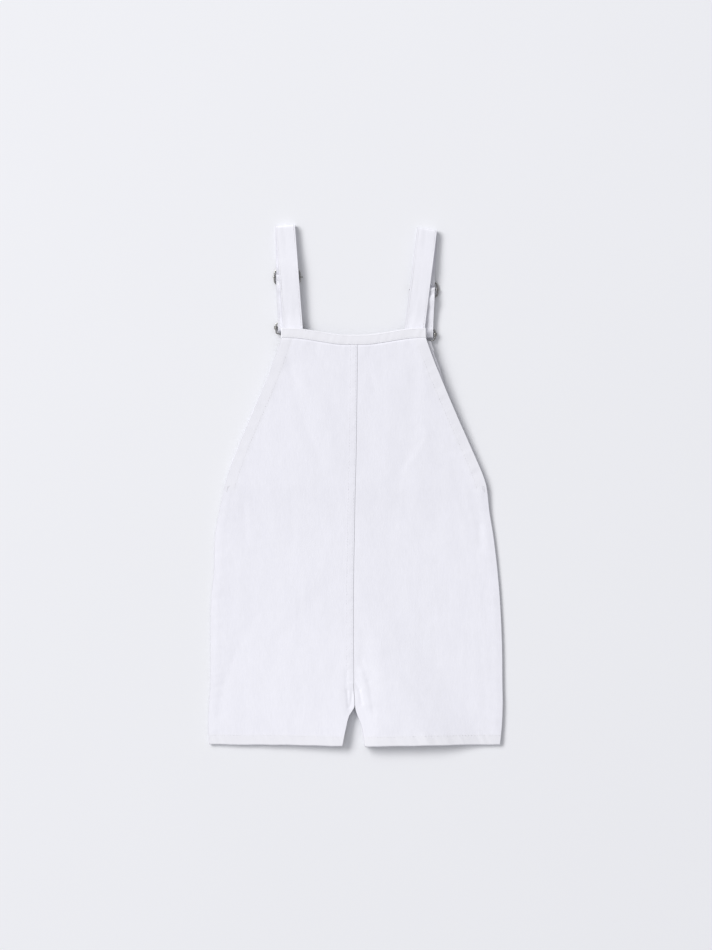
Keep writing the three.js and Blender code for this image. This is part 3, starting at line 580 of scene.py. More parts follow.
def back_panel(side):
    """Half of the back, from under the bib's band to the leg's hem."""
    away = away_from_seam(side)
    rows = spread(BACK_TOP_ROW, FINE_FROM_ROW, GRID)[:-1]
    rows += spread(FINE_FROM_ROW, BACK_HEM_ROW + TURNED / 2, FINE_GRID)
    rows += [BACK_HEM_ROW + d for d in hem_rows()[1:]]
    outer, inner, turned, edge = [], [], [], []
    for row in rows:
        seam_x = (centre_seam(row) if row > CROTCH_Y else back_leg[side](row)) + away * SEAM_GAP / 2
        width = abs(back_side[side](row) - seam_x)
        openness = smoothstep(row, UNDERARM_Y - 7, UNDERARM_Y)
        leg_wall = smoothstep(-row, -NOTCH_Y - 3, -NOTCH_Y + 3)
        half_share = fold_round(row - BACK_HEM_ROW, TURNED)
        band_shift = smoothstep(row, 100, 148)
        hem_shift = smoothstep(-row, 200, -BACK_HEM_ROW)

        def level_at(x):
            shift = (back_top_edge(x) - BAND_DEPTH - GAP - 148) * band_shift
            ragged = 0.5 * wander(x, 0, 21, 9.5)
            return row + shift + (hem_edge(x) - BACK_HEM_ROW + ragged) * hem_shift

        def top_at(from_seam):
            x = seam_x + away * from_seam
            y = level_at(x)
            seam = from_seam + 4 * smoothstep(-row, -CROTCH_Y, -CROTCH_Y + 20)
            tucked = BACK_TUCK * smoothstep(y - (back_top_edge(x) - BAND_DEPTH), 0, TUCK_RUN)
            return back_top(side, x, y, width - from_seam, seam) - tucked

        foot = lerp(WALL_FOOT, TURNED + GAP, smoothstep(-row, 241, 244))
        seam_cloth = lerp(SEAM_FOLD * CLOTH, CLOTH, leg_wall)
        line = edge_stations(top_at(0) - SEAM_SINK, seam_cloth, leg_wall, foot)[::-1]
        places = [lerp(EDGE_FLAT, FINE_WIDTH, k / FINE_COLUMNS) for k in range(FINE_COLUMNS)]
        places += [lerp(FINE_WIDTH, width - EDGE_FLAT, k / WIDE_COLUMNS) for k in range(WIDE_COLUMNS + 1)]
        for d in places:
            share = turned_share(width - d, row - BACK_HEM_ROW, openness)
            z = top_at(d)
            line.append((d, z, d, z - lerp(CLOTH, TURNED, share)))
        side_cloth = lerp(CLOTH, TURNED, openness)
        for d, z, di, zi in edge_stations(top_at(width), side_cloth, 1 - openness, WALL_FOOT):
            line.append((width - d, z, width - di, zi))
        outer_row, inner_row, turned_row, edge_shade_row = [], [], [], []
        for d, z, di, zi in line:
            x, xi = seam_x + away * d, seam_x + away * di
            mid, half = (z + zi) / 2, (z - zi) / 2 * half_share
            outer_row.append((x, level_at(x), mid + half))
            inner_row.append((xi, level_at(xi), mid - half))
            fell = FELL_TONE if side == "left" and row > CROTCH_Y and d < SEAM_ALLOWANCE - 2 else 0
            turned_row.append(max(fell, turned_share(width - d, row - BACK_HEM_ROW, openness)))
            # painted shade toward the panel's edges, carried by the edge attribute
            edge_shade_row.append(edge_shade_share(d, width))
        for grid, new_row in ((outer, outer_row), (inner, inner_row), (turned, turned_row), (edge, edge_shade_row)):
            grid.append(new_row[::-1] if side == "left" else new_row)
    return cloth_solid(f"back_{side}_cloth", outer, inner, {"turned": turned, "edge": edge})


def front_side_x(side, y):
    """Where the front's side lies; its bib shows a little past the back's at the right corner."""
    if side == "left":
        return back_side["left"](y) + lerp(0.6, 1.4, smoothstep(y, 20, 100))
    return back_side["right"](y) - lerp(0.6, 1.2, smoothstep(y, 20, 60)) + 5 * smoothstep(y, 88, 124)


# The small folds in the front's crotch: a line on the cloth, and how high it stands
CROTCH_FOLDS = (
    (-5, -204, -6, -217, -0.5),
    (-3, -206, -1, -221, 0.35),
    (-0.6, -208, 0.5, -218, -0.5),
    (-2, -221, -7, -231, 0.4),
)
CROTCH_FOLD_REACH = 1.6
PILE_HEIGHT = 3.0
PILE_REACH = 17


def crotch_pile(x, y):
    """The front's crotch, pushed up under the notch between the legs, where its seams meet."""
    pile = PILE_HEIGHT * bell(math.hypot((x + 2) / 1.4, y + 209), PILE_REACH)
    for x1, y1, x2, y2, rise in CROTCH_FOLDS:
        pile += rise * bell(distance_to_line(x, y, x1, y1, x2, y2), CROTCH_FOLD_REACH)
    return max(0, pile)


def front_level(x, y):
    return BIB_LIFT * corner_share(x, y)


FRONT_TOP_ROW = 140.0
FRONT_HEM_ROW = -258.6
HALF_WIDTH = 146


def front_panel(side):
    """Half of the front, under the back, with its outer face on the floor."""
    away = away_from_seam(side)
    rows = spread(FRONT_TOP_ROW, FRONT_HEM_ROW + TURNED / 2, COARSE_GRID)
    rows += [FRONT_HEM_ROW + d for d in hem_rows()[1:]]
    middle = round(HALF_WIDTH / COARSE_GRID)
    outer, inner, turned, edge_shade = [], [], [], []
    for row in rows:
        seam_x = (centre_seam(row) - 0.9 if row > CROTCH_Y else front_leg[side](row)) + away * GAP / 2
        width = abs(front_side_x(side, row) - seam_x)
        openness = smoothstep(row, 4, 12)
        half_share = fold_round(row - FRONT_HEM_ROW, TURNED)

        def level_at(x):
            shift = (front_top_edge(x) - BAND_DEPTH - GAP - 137) * smoothstep(row, 90, 137)
            return row + shift + (hem_edge(x) - BACK_HEM_ROW) * smoothstep(-row, 200, -FRONT_HEM_ROW)

        stations = [lerp(0.5, width - 0.5, k / middle) for k in range(middle + 1)]
        line = []
        for d in [0.0, 0.15] + stations + [width - 0.15, width]:
            x = seam_x + away * d
            y = level_at(x)
            share = turned_share(width - d, row - FRONT_HEM_ROW, openness)
            share *= lerp(smoothstep(width - d, 2, 4), 1, openness)
            cloth = lerp(CLOTH, TURNED, share)
            tucked = FRONT_TUCK * smoothstep(y - (front_top_edge(x) - BAND_DEPTH), 0, TUCK_RUN)
            half = cloth / 2 * half_share * math.sqrt(clamp(min(d, width - d) / 0.5, 0.02, 1))
            mid = front_level(x, y) + crotch_pile(x, y) + cloth / 2
            quilt = 0.1 * wander(x, y, 9, 3.1)
            # the last value is painted shade toward the panel's edges
            line.append((x, y, mid + half + quilt - tucked, mid - half, share, edge_shade_share(d, width)))
        if side == "left":
            line.reverse()
        xs, ys, tops, lows, shares, edges = zip(*line)
        outer.append(list(zip(xs, ys, tops)))
        inner.append(list(zip(xs, ys, lows)))
        turned.append(shares)
        edge_shade.append(edges)
    return cloth_solid(f"front_{side}_cloth", outer, inner, {"turned": turned, "edge": edge_shade})


def band_relief(x, from_top):
    """The puckers between the band's two rows of stitches, which draw it in."""
    drawn = -sum(BAND_DRAW * bell(from_top - d, 0.7) for d in BAND_STITCHES)
    full = 0.03 * bell(from_top - BAND_DEPTH / 2, 2.6)
    return drawn + full + band_ripples(x + 0.35 * from_top) * bell(from_top - BAND_DEPTH / 2, 5.5)


FOOT_RUN = 0.45  # where the band's lower edge rounds down


def top_band(name, edge, left_ends, right_ends, under, rippled):
    """The folded strip along the top of the back or the front."""
    columns = round((right_ends[0] - left_ends[0]) / (GRID * 0.8))
    fold = [BAND / 2 * (1 - math.sin(angle)) for angle in edge_angles(5)]
    across = fold[::-1] + spread(BAND / 2, BAND_DEPTH - 0.9, 0.9)[1:]
    across += [BAND_DEPTH - FOOT_RUN, BAND_DEPTH - 0.1, BAND_DEPTH]
    foot_drop = 0.25 if rippled else 0.9
    outer, inner = [], []
    for from_top in across:
        share = from_top / BAND_DEPTH
        top_round = fold_round(from_top, BAND)
        foot_round = clamp((BAND_DEPTH - from_top) / FOOT_RUN, 0, 1) ** 0.5
        half = BAND / 2 * top_round
        outer_row, inner_row = [], []
        for j in range(columns + 1):
            x = lerp(lerp(*left_ends, share), lerp(*right_ends, share), j / columns)
            y = edge(x) - from_top
            middle = under(x, y) + BAND / 2
            relief = band_relief(x, from_top) if rippled else 0
            outer_row.append((x, y, middle + half + relief * top_round - foot_drop * (1 - foot_round)))
            inner_row.append((x, y, middle - half))
        outer.append(outer_row)
        inner.append(inner_row)
    turned = [[1.0] * (columns + 1) for _ in across]
    return cloth_solid(name, outer, inner, {"turned": turned})


def back_band_level(x, y):
    return BAND_LEVEL + BACK_LIFT * bib_share(x, y)


# Straps
RISE_INSIDE = 7.2  # the run in which a strap rises over the slider's wires, inside the ring
RISE_OUTSIDE = 15
HOOK_RUN = 16
END_RUN = 15
FOLD_RUN = 22


def strap_line(strap, step):
    """The strap's middle line from the band over the fold to the slider: x, y, z, slope of its cross line."""
    slider_x, slider_y = strap["slider_x"], strap["slider_y"]
    bar_y = strap["bar_y"] - strap["slack"]  # the end hangs loosely round the hook's bar
    fold_x, slope = strap["fold_x"], strap["fold_slope"]
    fold_radius = (UPPER_RUN[-1]["z"] - STRAP / 2) / 2
    turn_y = strap["fold_y"] - fold_radius - STRAP / 2
    upper_z = column(UPPER_RUN, "z")
    upper_slope = -(fold_x - strap["base_x"]) / (turn_y - STRAP_BASE_Y)
    stretch = turn_y - UPPER_RUN[-1]["y"]
    line = []
    for y in spread(STRAP_BASE_Y, turn_y, step):
        share = (y - STRAP_BASE_Y) / (turn_y - STRAP_BASE_Y)
        x = lerp(strap["base_x"], fold_x, share)
        z = upper_z(y - stretch * smoothstep(share, 0.7, 1))
        line.append((x, y, z, lerp(upper_slope, slope, smoothstep(share, 0.9, 1))))
    for angle in range(75, -76, -15):
        turn = math.radians(angle)
        y = turn_y + fold_radius * math.cos(turn)
        line.append((fold_x, y, fold_radius + STRAP / 2 + fold_radius * math.sin(turn), slope))
    bar_reach = SLIDER_HEIGHT / 2 - WIRE / 2
    over_bar = SLIDER_Z + WIRE / 2 + GAP
    wrap = WIRE / 2 + GAP + STRAP / 2

    def bump(y, at):
        reach = RISE_INSIDE if abs(y - slider_y) < bar_reach else RISE_OUTSIDE
        return math.cos(math.pi / 2 * min(1, abs(y - at) / reach)) ** 2

    def main_z(y):
        bars = over_bar * bump(y, slider_y + math.copysign(bar_reach, y - slider_y))
        bridge = SPAN_LIFT * bell(y - (slider_y + bar_y) / 2, (slider_y - bar_y) / 2.7)
        at_hook = (HOOK_BAR_Z - wrap - STRAP / 2) * (1 - smoothstep(y, bar_y, bar_y + HOOK_RUN))
        return STRAP / 2 + bars + bridge + at_hook

    def add_point(y, z):
        if y > slider_y:
            x = lerp(slider_x, fold_x, smoothstep(y, slider_y, turn_y))
        else:
            x = lerp(strap["end_x"], slider_x, smoothstep(y, bar_y, slider_y))
        line.append((x, y, z, slope * smoothstep(y, turn_y - FOLD_RUN, turn_y)))

    for y in spread(turn_y, bar_y, step):
        add_point(y, main_z(y))
    for angle in range(-105, -256, -15):
        turn = math.radians(angle)
        add_point(bar_y + wrap * math.cos(turn), HOOK_BAR_Z + wrap * math.sin(turn))
    layer = STRAP + GAP
    end_lift = HOOK_BAR_Z + wrap - main_z(bar_y) - layer
    middle_lift = SLIDER_BAR_Z + wrap - main_z(slider_y) - layer
    for y in spread(bar_y, slider_y, step):
        at_hook = end_lift * (1 - smoothstep(y, bar_y, bar_y + END_RUN))
        add_point(y, main_z(y) + layer + at_hook + middle_lift * smoothstep(y, slider_y - 6, slider_y))
    for angle in (*range(75, -76, -15), -85):
        turn = math.radians(angle)
        add_point(slider_y + wrap * math.cos(turn), SLIDER_BAR_Z + wrap * math.sin(turn))
    return line


def strap_frames(line):
    """At each point of the line: its place, and the directions across and out of the strap."""
    frames = []
    for i, (x, y, z, slope) in enumerate(line):
        before, after = line[max(i - 1, 0)], line[min(i + 1, len(line) - 1)]
        across = Vector((1, slope, 0)).normalized()
        run = Vector((0, after[1] - before[1], after[2] - before[2])).normalized()
        frames.append((Vector((x, y, z)), across, across.cross(run).normalized()))
    return frames


def strap_relief(seed, along, across):
    """Lengthwise softness and the puckers at the two rows of stitches, in millimetres."""
    edge = STRAP_WIDTH / 2 - abs(across)
    drawn = -STRAP_DRAW * bell(edge - STRAP_STITCH, 0.6)
    soft = 0.17 * noise.noise(Vector((across / 4.2, along / 40, seed)))
    small = 0.1 * noise.noise(Vector((across / 6, along / 4.5, seed + 5))) * bell(edge - 1.5, 4)
    return drawn + soft + small


def strap_cloth(side, seed):
    line = strap_line(STRAPS[side], GRID)
    frames = strap_frames(line)
    half, thick = STRAP_WIDTH / 2, STRAP / 2
    rim = [(half - EDGE_SQUEEZE * thick * (1 - math.cos(a)), thick * math.sin(a)) for a in edge_angles(4)]
    flat = [lerp(-half + thick, half - thick, k / 13) for k in range(14)]
    flat = [-half + 0.5 * thick, *flat, half - 0.5 * thick]
    upper = [(-u, v) for u, v in rim[1:]] + [(u, thick) for u in flat] + rim[:0:-1]
    lower = [(u, -v) for u, v in reversed(upper)]
    section = upper + [(half, 0)] + lower + [(-half, 0)]
    points, along = [], 0.0
    for i, (place, across, up) in enumerate(frames):
        if i:
            along += (place - frames[i - 1][0]).length
        facing = -1 if up.z < -0.3 else 1
        for u, v in section:
            relief = strap_relief(seed, along, u) if v * facing > 0 else 0
            points.append(metres(*(place + across * u + up * (v + facing * relief))))
    count = len(section)
    faces = []
    for i in range(len(frames) - 1):
        for j in range(count):
            nxt = (j + 1) % count
            faces.append((i * count + j, (i + 1) * count + j, (i + 1) * count + nxt, i * count + nxt))
    faces.append(tuple(range(count)))
    faces.append(tuple(reversed(range((len(frames) - 1) * count, len(frames) * count))))
    turned = [STRAP_TONE] * len(points)
    # painted shade toward the strap's long edges
    edge = [edge_shade_share(half + section[k % count][0], 2 * half) for k in range(len(points))]
    return new_object(f"strap_{side}_cloth", points, faces, {"turned": turned, "edge": edge})


# Stitches
def stitch_shape():
    """One stitch, modelled once: a thread that dips into the cloth at both ends."""
    deselect()
    bpy.ops.mesh.primitive_cylinder_add(
        vertices=6, radius=THREAD / 2, depth=STITCH_LENGTH, rotation=(0, math.pi / 2, 0)
    )
    piece = bpy.context.active_object
    apply_place()
    open_edit()
    bpy.ops.mesh.bevel(offset=THREAD * 0.3, segments=1, affect="EDGES")
    close_edit()
    points = [v.co.copy() for v in piece.data.vertices]
    faces = [tuple(p.vertices) for p in piece.data.polygons]
    bpy.data.objects.remove(piece)
    return points, faces


def sew(name, seams, seed):
    """Stitches along seams; each seam is a list of (place, direction out of the cloth), in millimetres."""
    shape, shape_faces = STITCH
    dice = random.Random(seed)
    points, faces = [], []
    for seam in seams:
        travelled, due = 0.0, STITCH_PITCH / 2
        for (a, up_a), (b, up_b) in zip(seam, seam[1:]):
            step = (b - a).length
            while step > 0 and due <= travelled + step:
                share = (due - travelled) / step
                place = a.lerp(b, share)
                out = up_a.lerp(up_b, share).normalized()
                run = (b - a).normalized()
                side = out.cross(run).normalized()
                run = side.cross(out).normalized()
                twist = dice.uniform(-0.09, 0.09)
                turn = Matrix((run, side, out)).transposed() @ Matrix.Rotation(twist, 3, "Z")
                length = dice.uniform(0.9, 1.08)
                first = len(points)
                for p in shape:
                    dip = 0.12 * (2 * p.x / STITCH_LENGTH) ** 2
                    local = Vector((p.x * length, p.y, p.z * THREAD_PRESS - dip))
                    points.append(metres(*(place + out * STITCH_LIFT + turn @ local)))
                faces.extend(tuple(first + k for k in face) for face in shape_faces)
                due += STITCH_PITCH
            travelled += step
    return new_object(name, points, faces)


UP = Vector((0, 0, 1))


def on_back(side, x, y):
    seam_x = centre_seam(y) if y > CROTCH_Y else back_leg[side](y)
    from_side = abs(back_side[side](y) - x)
    from_seam = abs(x - seam_x)
    return (Vector((x, y, back_top(side, x, y, from_side, from_seam))), UP)


def back_seams(side):
    away = away_from_seam(side)
    armhole = [
        on_back(side, back_side[side](y) - away * ARMHOLE_STITCH, y) for y in spread(UNDERARM_Y - 2, 144, 1)
    ]
    hem = []
    for x in spread(back_leg[side](-245) + away * 1.5, back_side[side](-245) - away * 1.5, 1):
        hem.append(on_back(side, x, hem_edge(x) + HEM_STITCH))
    seams = [armhole, hem]
    if side == "left":
        for offset in FELL_STITCHES:
            levels = spread(146.5, -192, 1)
            seams.append([on_back(side, centre_seam(y) - GAP / 2 - offset, y) for y in levels])
    return seams


def band_seams():
    seams = []
    for from_top in BAND_STITCHES:
        seam = []
        for x in spread(back_side["left"](155) + 1.2, back_side["right"](155) - 1.2, 1):
            y = back_top_edge(x) - from_top
            z = back_band_level(x, y) + BAND + band_relief(x, from_top)
            seam.append((Vector((x, y, z)), UP))
        seams.append(seam)
    return seams


def strap_seams(side):
    frames = strap_frames(strap_line(STRAPS[side], 1.0))
    seams = []
    for across_place in (-STRAP_WIDTH / 2 + STRAP_STITCH, STRAP_WIDTH / 2 - STRAP_STITCH):
        seam, side_up = [], 1
        for place, across, up in frames:
            facing = -1 if up.z < -0.3 else 1
            if facing != side_up:
                seams.append(seam)
                seam, side_up = [], facing
            out = up * facing
            if place.z > THREAD:
                seam.append((place + across * across_place + out * (STRAP / 2), out))
        seams.append(seam)
    return [seam for seam in seams if len(seam) > 1]


def bartack(side):
    """A close zigzag of thread where the armhole ends at the side seam."""
    away = away_from_seam(side)
    seam = []
    for k in range(13):
        y = UNDERARM_Y - 6 + k * 0.55
        x = back_side[side](y) - away * (2.2 if k % 2 else 5.2)
        seam.append(on_back(side, x, y))
    return [seam]


# Metal fittings, modelled flat and lifted to their places
def wire_start(name, place, heading, radius):
    """The round end of a wire, as an open ring that is then drawn out in edit mode."""
    deselect()
    turn = Vector((0, 0, 1)).rotation_difference(heading).to_euler()
    bpy.ops.mesh.primitive_circle_add(vertices=14, radius=radius * MM, location=metres(*place), rotation=turn)
    piece = bpy.context.active_object
    piece.name = name
    apply_place()
    open_edit()
    return piece


def draw(x, y, z=0):
    bpy.ops.mesh.extrude_region_move(TRANSFORM_OT_translate={"value": metres(x, y, z)})


def bend(centre, degrees, axis=(0, 0, 1), steps=6):
    bpy.ops.mesh.spin(
        steps=steps, angle=-math.radians(degrees), center=metres(*centre), axis=axis, use_auto_merge=False
    )


def close_wire(ring):
    """A closed ring is welded to its own start; an open wire gets its end faces."""
    if not ring:
        bpy.ops.mesh.select_all(action="DESELECT")
        bpy.ops.mesh.select_non_manifold()
        bpy.ops.mesh.edge_face_add()
    bpy.ops.mesh.select_all(action="SELECT")
    bpy.ops.mesh.remove_doubles(threshold=0.02 * MM)
    bpy.ops.mesh.normals_make_consistent(inside=False)
    close_edit()


def join(name, pieces):
    deselect()
    for piece in pieces:
        piece.select_set(True)
    bpy.context.view_layer.objects.active = pieces[0]
    if len(pieces) > 1:
        bpy.ops.object.join()
    whole = bpy.context.active_object
    whole.name = name
    whole.data.name = name
    apply_place()
    whole.data.shade_smooth()
    return whole


def clasped_end(x, y, away):
    """A crossbar's end, clasped over the side wire of the slider's ring."""
    start = (x - away * BAR_END, y, SLIDER_Z + THIN_TURN)
    piece = wire_start("clasped_end", start, Vector((away, 0, 0)), THIN_WIRE / 2)
    draw(away * BAR_END, 0)
    bend((x, y, SLIDER_Z), 115, axis=(0, away, 0), steps=8)
    close_wire(ring=False)
    return piece


def slider(side):
    strap = STRAPS[side]
    cx, cy = strap["ring_x"], strap["slider_y"]
    reach_x = (FITTING_WIDTH - WIRE) / 2
    reach_y = (SLIDER_HEIGHT - WIRE) / 2
    r = FITTING_CORNER
    long_run, short_run = 2 * (reach_x - r), 2 * (reach_y - r)
    start = (cx + reach_x, cy - reach_y + r, SLIDER_Z)
    ring = wire_start("ring", start, Vector((0, 1, 0)), WIRE / 2)
    for to_x, to_y in ((1, 1), (-1, 1), (-1, -1), (1, -1)):
        if to_x == to_y:
            draw(0, to_y * short_run)
        else:
            draw(to_x * long_run, 0)
        bend((cx + to_x * reach_x - to_x * r, cy + to_y * reach_y - to_y * r, SLIDER_Z), 90)
    close_wire(ring=True)
    outward = 1 if cx > 0 else -1  # both ends come from the side of the garment's middle
    ends = [clasped_end(cx + x, cy, outward) for x in (-reach_x, reach_x)]
    start = (cx - reach_x + BAR_END, cy, SLIDER_Z + THIN_TURN)
    bar = wire_start("bar", start, Vector((1, 0, 0)), THIN_WIRE / 2)
    draw(2 * (reach_x - BAR_END), 0)
    close_wire(ring=False)
    return join(f"slider_{side}_wire", [ring, bar] + ends)


def hook(side):
    """The ring that carries the strap, narrowing to a slot whose round end holds the button's shank."""
    strap = STRAPS[side]
    cx, top = strap["end_x"], strap["bar_y"]
    reach = (FITTING_WIDTH - WIRE) / 2
    slot = SHANK_RADIUS + GAP + WIRE / 2
    r = FITTING_CORNER
    shoulder_turn = math.degrees(math.atan2(reach - slot, HOOK_NECK - HOOK_SHOULDER))
    ring = wire_start("ring", (cx + reach, top - HOOK_SHOULDER, 0), Vector((0, 1, 0)), WIRE / 2)
    draw(0, HOOK_SHOULDER - r)
    bend((cx + reach - r, top - r, 0), 90)
    draw(-2 * (reach - r), 0)
    bend((cx - reach + r, top - r, 0), 90)
    draw(0, -(HOOK_SHOULDER - r))
    bend((cx - reach + SHOULDER_RADIUS, top - HOOK_SHOULDER, 0), shoulder_turn, steps=3)
    turned_x = -reach + SHOULDER_RADIUS - SHOULDER_RADIUS * math.cos(math.radians(shoulder_turn))
    turned_y = -HOOK_SHOULDER - SHOULDER_RADIUS * math.sin(math.radians(shoulder_turn))
    draw(-slot - turned_x, -HOOK_NECK - turned_y)
    draw(0, -(HOOK_LENGTH - HOOK_NECK))
    bend((cx, top - HOOK_LENGTH, 0), 180, steps=10)
    draw(0, HOOK_LENGTH - HOOK_NECK)
    draw(-slot - turned_x, HOOK_NECK + turned_y)
    bend((cx + reach - SHOULDER_RADIUS, top - HOOK_SHOULDER, 0), shoulder_turn, steps=3)
    close_wire(ring=True)
    collars = []
    for x in (-reach, reach):
        for k in (-1, 0, 1):
            deselect()
            bpy.ops.mesh.primitive_torus_add(
                major_radius=THIN_TURN * MM, minor_radius=THIN_WIRE / 2 * MM,
                major_segments=16, minor_segments=8,
                location=metres(cx + x, top - COLLAR_DROP + k * THIN_WIRE, 0), rotation=(math.pi / 2, 0, 0),
            )
            collars.append(bpy.context.active_object)
    whole = join(f"hook_{side}_wire", [ring] + collars)
    lean = math.atan2(strap["button_lean"], HOOK_LENGTH)
    tilt = math.atan2(HOOK_SHANK_Z - HOOK_BAR_Z, HOOK_LENGTH)
    open_edit()
    pivot = metres(cx, top, 0)
    bpy.ops.transform.rotate(value=-lean, orient_axis="Z", center_override=pivot)
    bpy.ops.transform.rotate(value=tilt, orient_axis="X", center_override=pivot)
    bpy.ops.transform.translate(value=metres(0, 0, HOOK_BAR_Z))
    close_edit()
    return whole


def button(side):
    """A tack button: a dished cap and its shank outside the bib, the pin through it, the tack inside."""
    x, y = BUTTONS[side]
    deselect()
    bpy.ops.mesh.primitive_cylinder_add(
        vertices=40, radius=BUTTON_RADIUS * MM, depth=CAP_HEIGHT * MM, location=metres(x, y, CAP_HEIGHT / 2)
    )
    piece = bpy.context.active_object
    apply_place()
    open_edit()
    bpy.ops.mesh.bevel(offset=CAP_ROUND * MM, segments=3, affect="EDGES")
    close_edit()

    def select_face(normal_z, level):
        for face in piece.data.polygons:
            face.select = abs(face.normal.z - normal_z) < 0.01 and abs(face.center.z - level * MM) < 0.05 * MM

    def draw_in(thickness):
        bpy.ops.mesh.inset(thickness=thickness * MM)

    select_face(-1, 0)
    bpy.ops.object.mode_set(mode="EDIT")
    bpy.ops.mesh.select_mode(type="FACE")
    draw_in(RIM_WIDTH)
    draw(0, 0, RIM_HEIGHT)
    draw_in(DISH_SLOPE)
    draw(0, 0, -DISH_RISE)
    close_edit()
    select_face(1, CAP_HEIGHT)
    bpy.ops.object.mode_set(mode="EDIT")
    draw_in(BUTTON_RADIUS - CAP_ROUND - SHANK_RADIUS)
    draw(0, 0, BIB_LIFT - GAP - CAP_HEIGHT)
    draw_in(SHANK_RADIUS - PIN_RADIUS)
    draw(0, 0, TURNED + 2 * GAP)
    bpy.ops.mesh.inset(thickness=(TACK_RADIUS - PIN_RADIUS) * MM, use_outset=True)
    bpy.ops.mesh.select_all(action="DESELECT")
    close_edit()
    deselect()
    top = BIB_LIFT + TURNED + GAP
    bpy.ops.mesh.primitive_cylinder_add(
        vertices=32, radius=TACK_RADIUS * MM, depth=TACK_HEIGHT * MM,
        location=metres(x, y, top + TACK_HEIGHT / 2),
    )
    tack = bpy.context.active_object
    apply_place()
    whole = join(f"button_{side}_tack", [piece, tack])
    bpy.ops.object.shade_smooth_by_angle(angle=math.radians(35))
    return whole


# Materials
def colour(code):
    """An sRGB hex value, turned to linear."""
    channels = [int(code[i : i + 2], 16) / 255 for i in (1, 3, 5)]
    linear = [c / 12.92 if c <= 0.04045 else ((c + 0.055) / 1.055) ** 2.4 for c in channels]
    return (*linear, 1.0)


def add_node(tree, kind, links=None, **settings):
    """A node; settings are its properties or its sockets' values, and links join its sockets to others."""
    node = tree.nodes.new(kind)
    for key, value in settings.items():
        if key in node.bl_rna.properties:
            setattr(node, key, value)
        else:
            node.inputs[key.replace("_", " ")].default_value = value
    for socket, source in (links or {}).items():
        tree.links.new(source, node.inputs[socket])
    return node


COLOUR_A, COLOUR_B, MIXED = 6, 7, 2  # a colour mix's two inputs and its output


def new_material(name):
    material = bpy.data.materials.new(name)
    material.use_nodes = True
    tree = material.node_tree
    tree.nodes.clear()
    return material, tree


def finish_material(tree, shader):
    add_node(tree, "ShaderNodeOutputMaterial", {"Surface": shader.outputs["BSDF"]})


TWILL_PITCH = 1.5 * MM  # real twill lines are about 0.8 mm apart; coarser here so that they show
TWILL_ANGLE = -27
SLUB = 9 * MM  # length of the thicker places in the yarn


def bleached_denim(name, warp_turn=0.0):
    """Bleached cotton denim: matt, with a fine diagonal twill and slubs along the warp."""
    material, tree = new_material(name)
    place = add_node(tree, "ShaderNodeTexCoord").outputs["Object"]
    warp = add_node(tree, "ShaderNodeMapping", {"Vector": place}, Rotation=(0, 0, warp_turn))
    diagonal = add_node(
        tree, "ShaderNodeMapping", {"Vector": warp.outputs[0]}, Rotation=(0, 0, math.radians(TWILL_ANGLE))
    )
    twill = add_node(
        tree, "ShaderNodeTexWave", {"Vector": diagonal.outputs[0]},
        wave_type="BANDS", bands_direction="X", Scale=2 * math.pi / (20 * TWILL_PITCH),
        Distortion=1.6, Detail=2.0, Detail_Scale=1.4,
    )
    stretched = add_node(tree, "ShaderNodeMapping", {"Vector": warp.outputs[0]}, Scale=(9.0, 1.0, 9.0))
    slub = add_node(
        tree, "ShaderNodeTexNoise", {"Vector": stretched.outputs[0]},
        Scale=1 / SLUB, Detail=4.0, Roughness=0.6,
    )
    fuzz = add_node(
        tree, "ShaderNodeTexNoise", {"Vector": place}, Scale=1400.0, Detail=3.0, Roughness=0.7
    )
    drawn_out = add_node(tree, "ShaderNodeMapping", {"Vector": warp.outputs[0]}, Scale=(2.6, 0.7, 1.0))
    mottle = add_node(
        tree, "ShaderNodeTexNoise", {"Vector": drawn_out.outputs[0]},
        Scale=34.0, Detail=3.0, Roughness=0.55,
    )
    tone = add_node(
        tree, "ShaderNodeMapRange", {"Value": mottle.outputs["Fac"]},
        From_Min=0.34, From_Max=0.68, To_Max=0.5,
    )
    base = add_node(tree, "ShaderNodeMix", {"Factor": tone.outputs[0]}, data_type="RGBA")
    base.inputs[COLOUR_A].default_value = colour("#EFEFF7")  # bleached cotton
    base.inputs[COLOUR_B].default_value = colour("#EAEAF2")  # where it is a little thinner
    yarn = add_node(
        tree, "ShaderNodeMapRange", {"Value": slub.outputs["Fac"]},
        From_Min=0.3, From_Max=0.7, To_Min=0.965, To_Max=1.01,
    )
    yarned = add_node(
        tree, "ShaderNodeVectorMath", {0: base.outputs[MIXED], "Scale": yarn.outputs[0]}, operation="SCALE"
    )
    turned_place = add_node(tree, "ShaderNodeAttribute", attribute_name="turned")
    hemmed = add_node(
        tree, "ShaderNodeMix", {"Factor": turned_place.outputs["Fac"], COLOUR_A: yarned.outputs[0]},
        data_type="RGBA",
    )
    hemmed.inputs[COLOUR_B].default_value = colour("#EBEBF1")  # turned and stitched edges, a little warmer
    # painted shade: the edge attribute greys the rims and side walls that face the light
    edge_shade_place = add_node(tree, "ShaderNodeAttribute", attribute_name="edge")
    edge_shaded = add_node(
        tree, "ShaderNodeMix", {"Factor": edge_shade_place.outputs["Fac"], COLOUR_A: hemmed.outputs[MIXED]},
        data_type="RGBA",
    )
    edge_shaded.inputs[COLOUR_B].default_value = colour("#CFCFD6")  # painted shade on the outermost edge and side walls
    raised = add_node(
        tree, "ShaderNodeMath", {0: twill.outputs["Fac"], 1: slub.outputs["Fac"]}, operation="MULTIPLY_ADD"
    )
    tree.links.new(fuzz.outputs["Fac"], raised.inputs[2])
    bump = add_node(tree, "ShaderNodeBump", {"Height": raised.outputs[0]}, Strength=0.5, Distance=0.13 * MM)
    shader = add_node(
        tree, "ShaderNodeBsdfPrincipled",
        {"Base Color": edge_shaded.outputs[MIXED], "Normal": bump.outputs[0]},
        Roughness=0.92, Sheen_Weight=0.12, Sheen_Roughness=0.5, Specular_IOR_Level=0.25,
    )
    finish_material(tree, shader)
    return material


